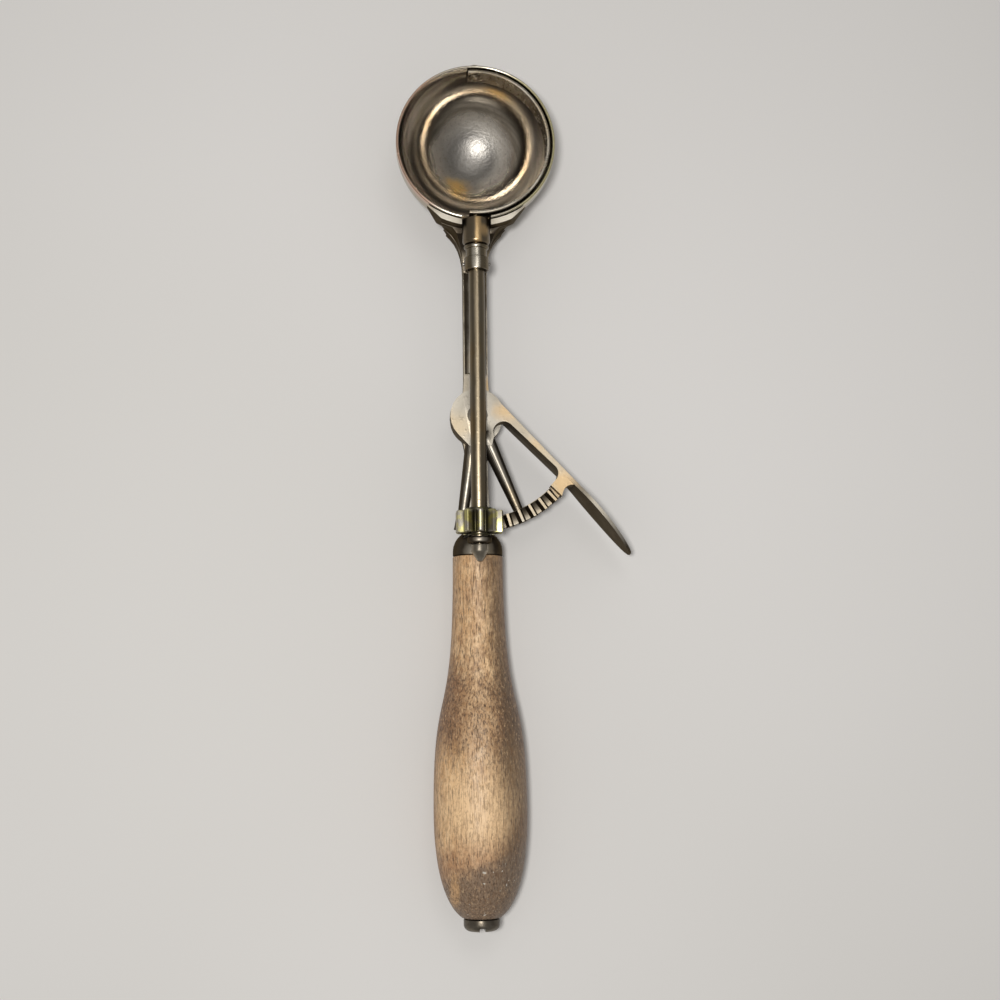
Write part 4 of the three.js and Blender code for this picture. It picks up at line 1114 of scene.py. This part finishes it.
def bezier(points, steps):
    """Points of a curve with four control points."""
    first, second, third, fourth = [Vector(point) for point in points]
    curve = []
    for step in range(steps + 1):
        share = step / steps
        rest = 1 - share
        near = first * rest ** 3 + second * (3 * share * rest ** 2)
        curve.append(near + third * (3 * share ** 2 * rest) + fourth * share ** 3)
    return curve


def make_grip():
    neck, belly, butt = 7.9 * MM, 14.5 * MM, 5.9 * MM
    neck_round, butt_round = 0.4 * MM, 0.6 * MM
    upper_steps, lower_steps = 90, 60
    bore = GRIP_BORE
    belly_run = 79 * MM
    widest = GRIP_TOP - belly_run
    tail = GRIP_END - widest
    upper = bezier([
        (neck, GRIP_TOP), (neck, GRIP_TOP - 0.705 * belly_run),
        (belly, GRIP_TOP - 0.457 * belly_run), (belly, widest),
    ], upper_steps)
    lower = bezier([
        (belly, widest), (belly, widest + 0.56 * tail),
        (butt + 0.59 * (belly - butt), widest + 0.89 * tail), (butt, GRIP_END),
    ], lower_steps)
    neck_edge = eased([(bore, GRIP_TOP), upper[0], upper[1]], neck_round)[:-1]
    butt_edge = eased([lower[-2], lower[-1], (bore, GRIP_END)], butt_round)[1:]
    outside = [*neck_edge, *upper[1:], *lower[1:-1], *butt_edge]
    outline = [(bore, widest), *outside, (bore, widest)]
    mesh = turned_mesh(outline, GRIP_WOOD, GRIP_LINE, sides=FINE_SIDES)
    settle(new_piece("turned_grip", mesh), "wood_handle", "frame")


def make_end_nut():
    top, end = ends("end_nut")
    radius = half_width("end_nut")
    bore, floor = GRIP_BORE, top - 1.7 * MM
    round_off = 2 * MM
    slot_width, slot_depth = 1.8 * MM, 1.2 * MM
    corner = (radius - round_off, end + round_off)
    outline = [
        *eased([(0, floor), (bore, floor), (bore, top), (radius, top), (radius, corner[1])]),
        *round_arc(round_off, 0, -QUARTER, BEAD_STEPS, corner)[1:],
        (0, end),
    ]
    mesh = turned_mesh(outline, NUT_NICKEL, GRIP_LINE)
    piece = new_piece("slotted_nut", mesh)
    cut(piece, box_mesh(
        (GRIP_LINE.x - slot_width / 2, end - slot_depth, GRIP_LINE.z - 2 * radius),
        (GRIP_LINE.x + slot_width / 2, end + slot_depth, GRIP_LINE.z + 2 * radius),
    ))
    settle(piece, "end_nut", "frame")


def dress_hidden_parts():
    """Pieces inside the others keep their CAD solids and get a finish."""
    for node in ("lever_spring", "pinion_pin", "tie_rod"):
        coat(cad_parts[node].data, PIN_STEEL)


make_bowl()
make_blade()
make_rivet()
make_spindle()
make_sleeve()
make_collar()
make_collar_pin()
make_tip_nut()
make_washer()
make_pinion()
make_castings()
make_screw()
make_grip()
make_end_nut()
dress_hidden_parts()


# Floor, light and camera

def make_floor():
    work = bmesh.new()
    bmesh.ops.create_grid(work, x_segments=1, y_segments=1, size=FLOOR_REACH)
    mesh = bpy.data.meshes.new("floor")
    work.to_mesh(mesh)
    work.free()
    mesh.transform(Matrix.Translation((0, 0, cad_box[0].z)))
    finish = Finish("pale floor")
    tone = finish.ease(finish.clouds(300 * MM, detail=2), 0.3, 0.7)
    colour = finish.blend(tone, FLOOR_DARK, FLOOR_PALE)
    coat(mesh, finish.done({"Base Color": colour, "Roughness": 0.9, "Metallic": 0.0}))
    new_piece("floor", mesh)


def make_lamp(name, place, size, watts):
    """A round lamp that looks at the scoop."""
    lamp = bpy.data.lights.new(name, "AREA")
    lamp.shape = "DISK"
    lamp.size = size
    lamp.energy = watts
    piece = bpy.data.objects.new(name, lamp)
    piece.location = place
    piece.rotation_euler = (LAMP_TARGET - place).to_track_quat("-Z", "Y").to_euler()
    bpy.context.scene.collection.objects.link(piece)


def make_light():
    make_lamp("key lamp", KEY_PLACE, KEY_SIZE, KEY_WATTS)
    make_lamp("top softbox", TOP_PLACE, TOP_SIZE, TOP_WATTS)
    world = bpy.data.worlds.new("dim room")
    world.use_nodes = True
    world.node_tree.nodes["Background"].inputs["Color"].default_value = ROOM_LIGHT
    bpy.context.scene.world = world


def make_camera():
    data = bpy.data.cameras.new("camera")
    data.sensor_fit = "HORIZONTAL"
    data.sensor_width = SENSOR_WIDTH
    data.lens = SENSOR_WIDTH * FOCAL_PIXELS / IMAGE_SIZE
    data.clip_start = CLIP_START
    camera = bpy.data.objects.new("camera", data)
    camera.location = CAMERA_PLACE
    camera.rotation_euler = [math.radians(turn) for turn in CAMERA_TURN]
    bpy.context.scene.collection.objects.link(camera)
    bpy.context.scene.camera = camera


make_floor()
make_light()
make_camera()
bpy.context.scene.view_settings.view_transform = "Standard"
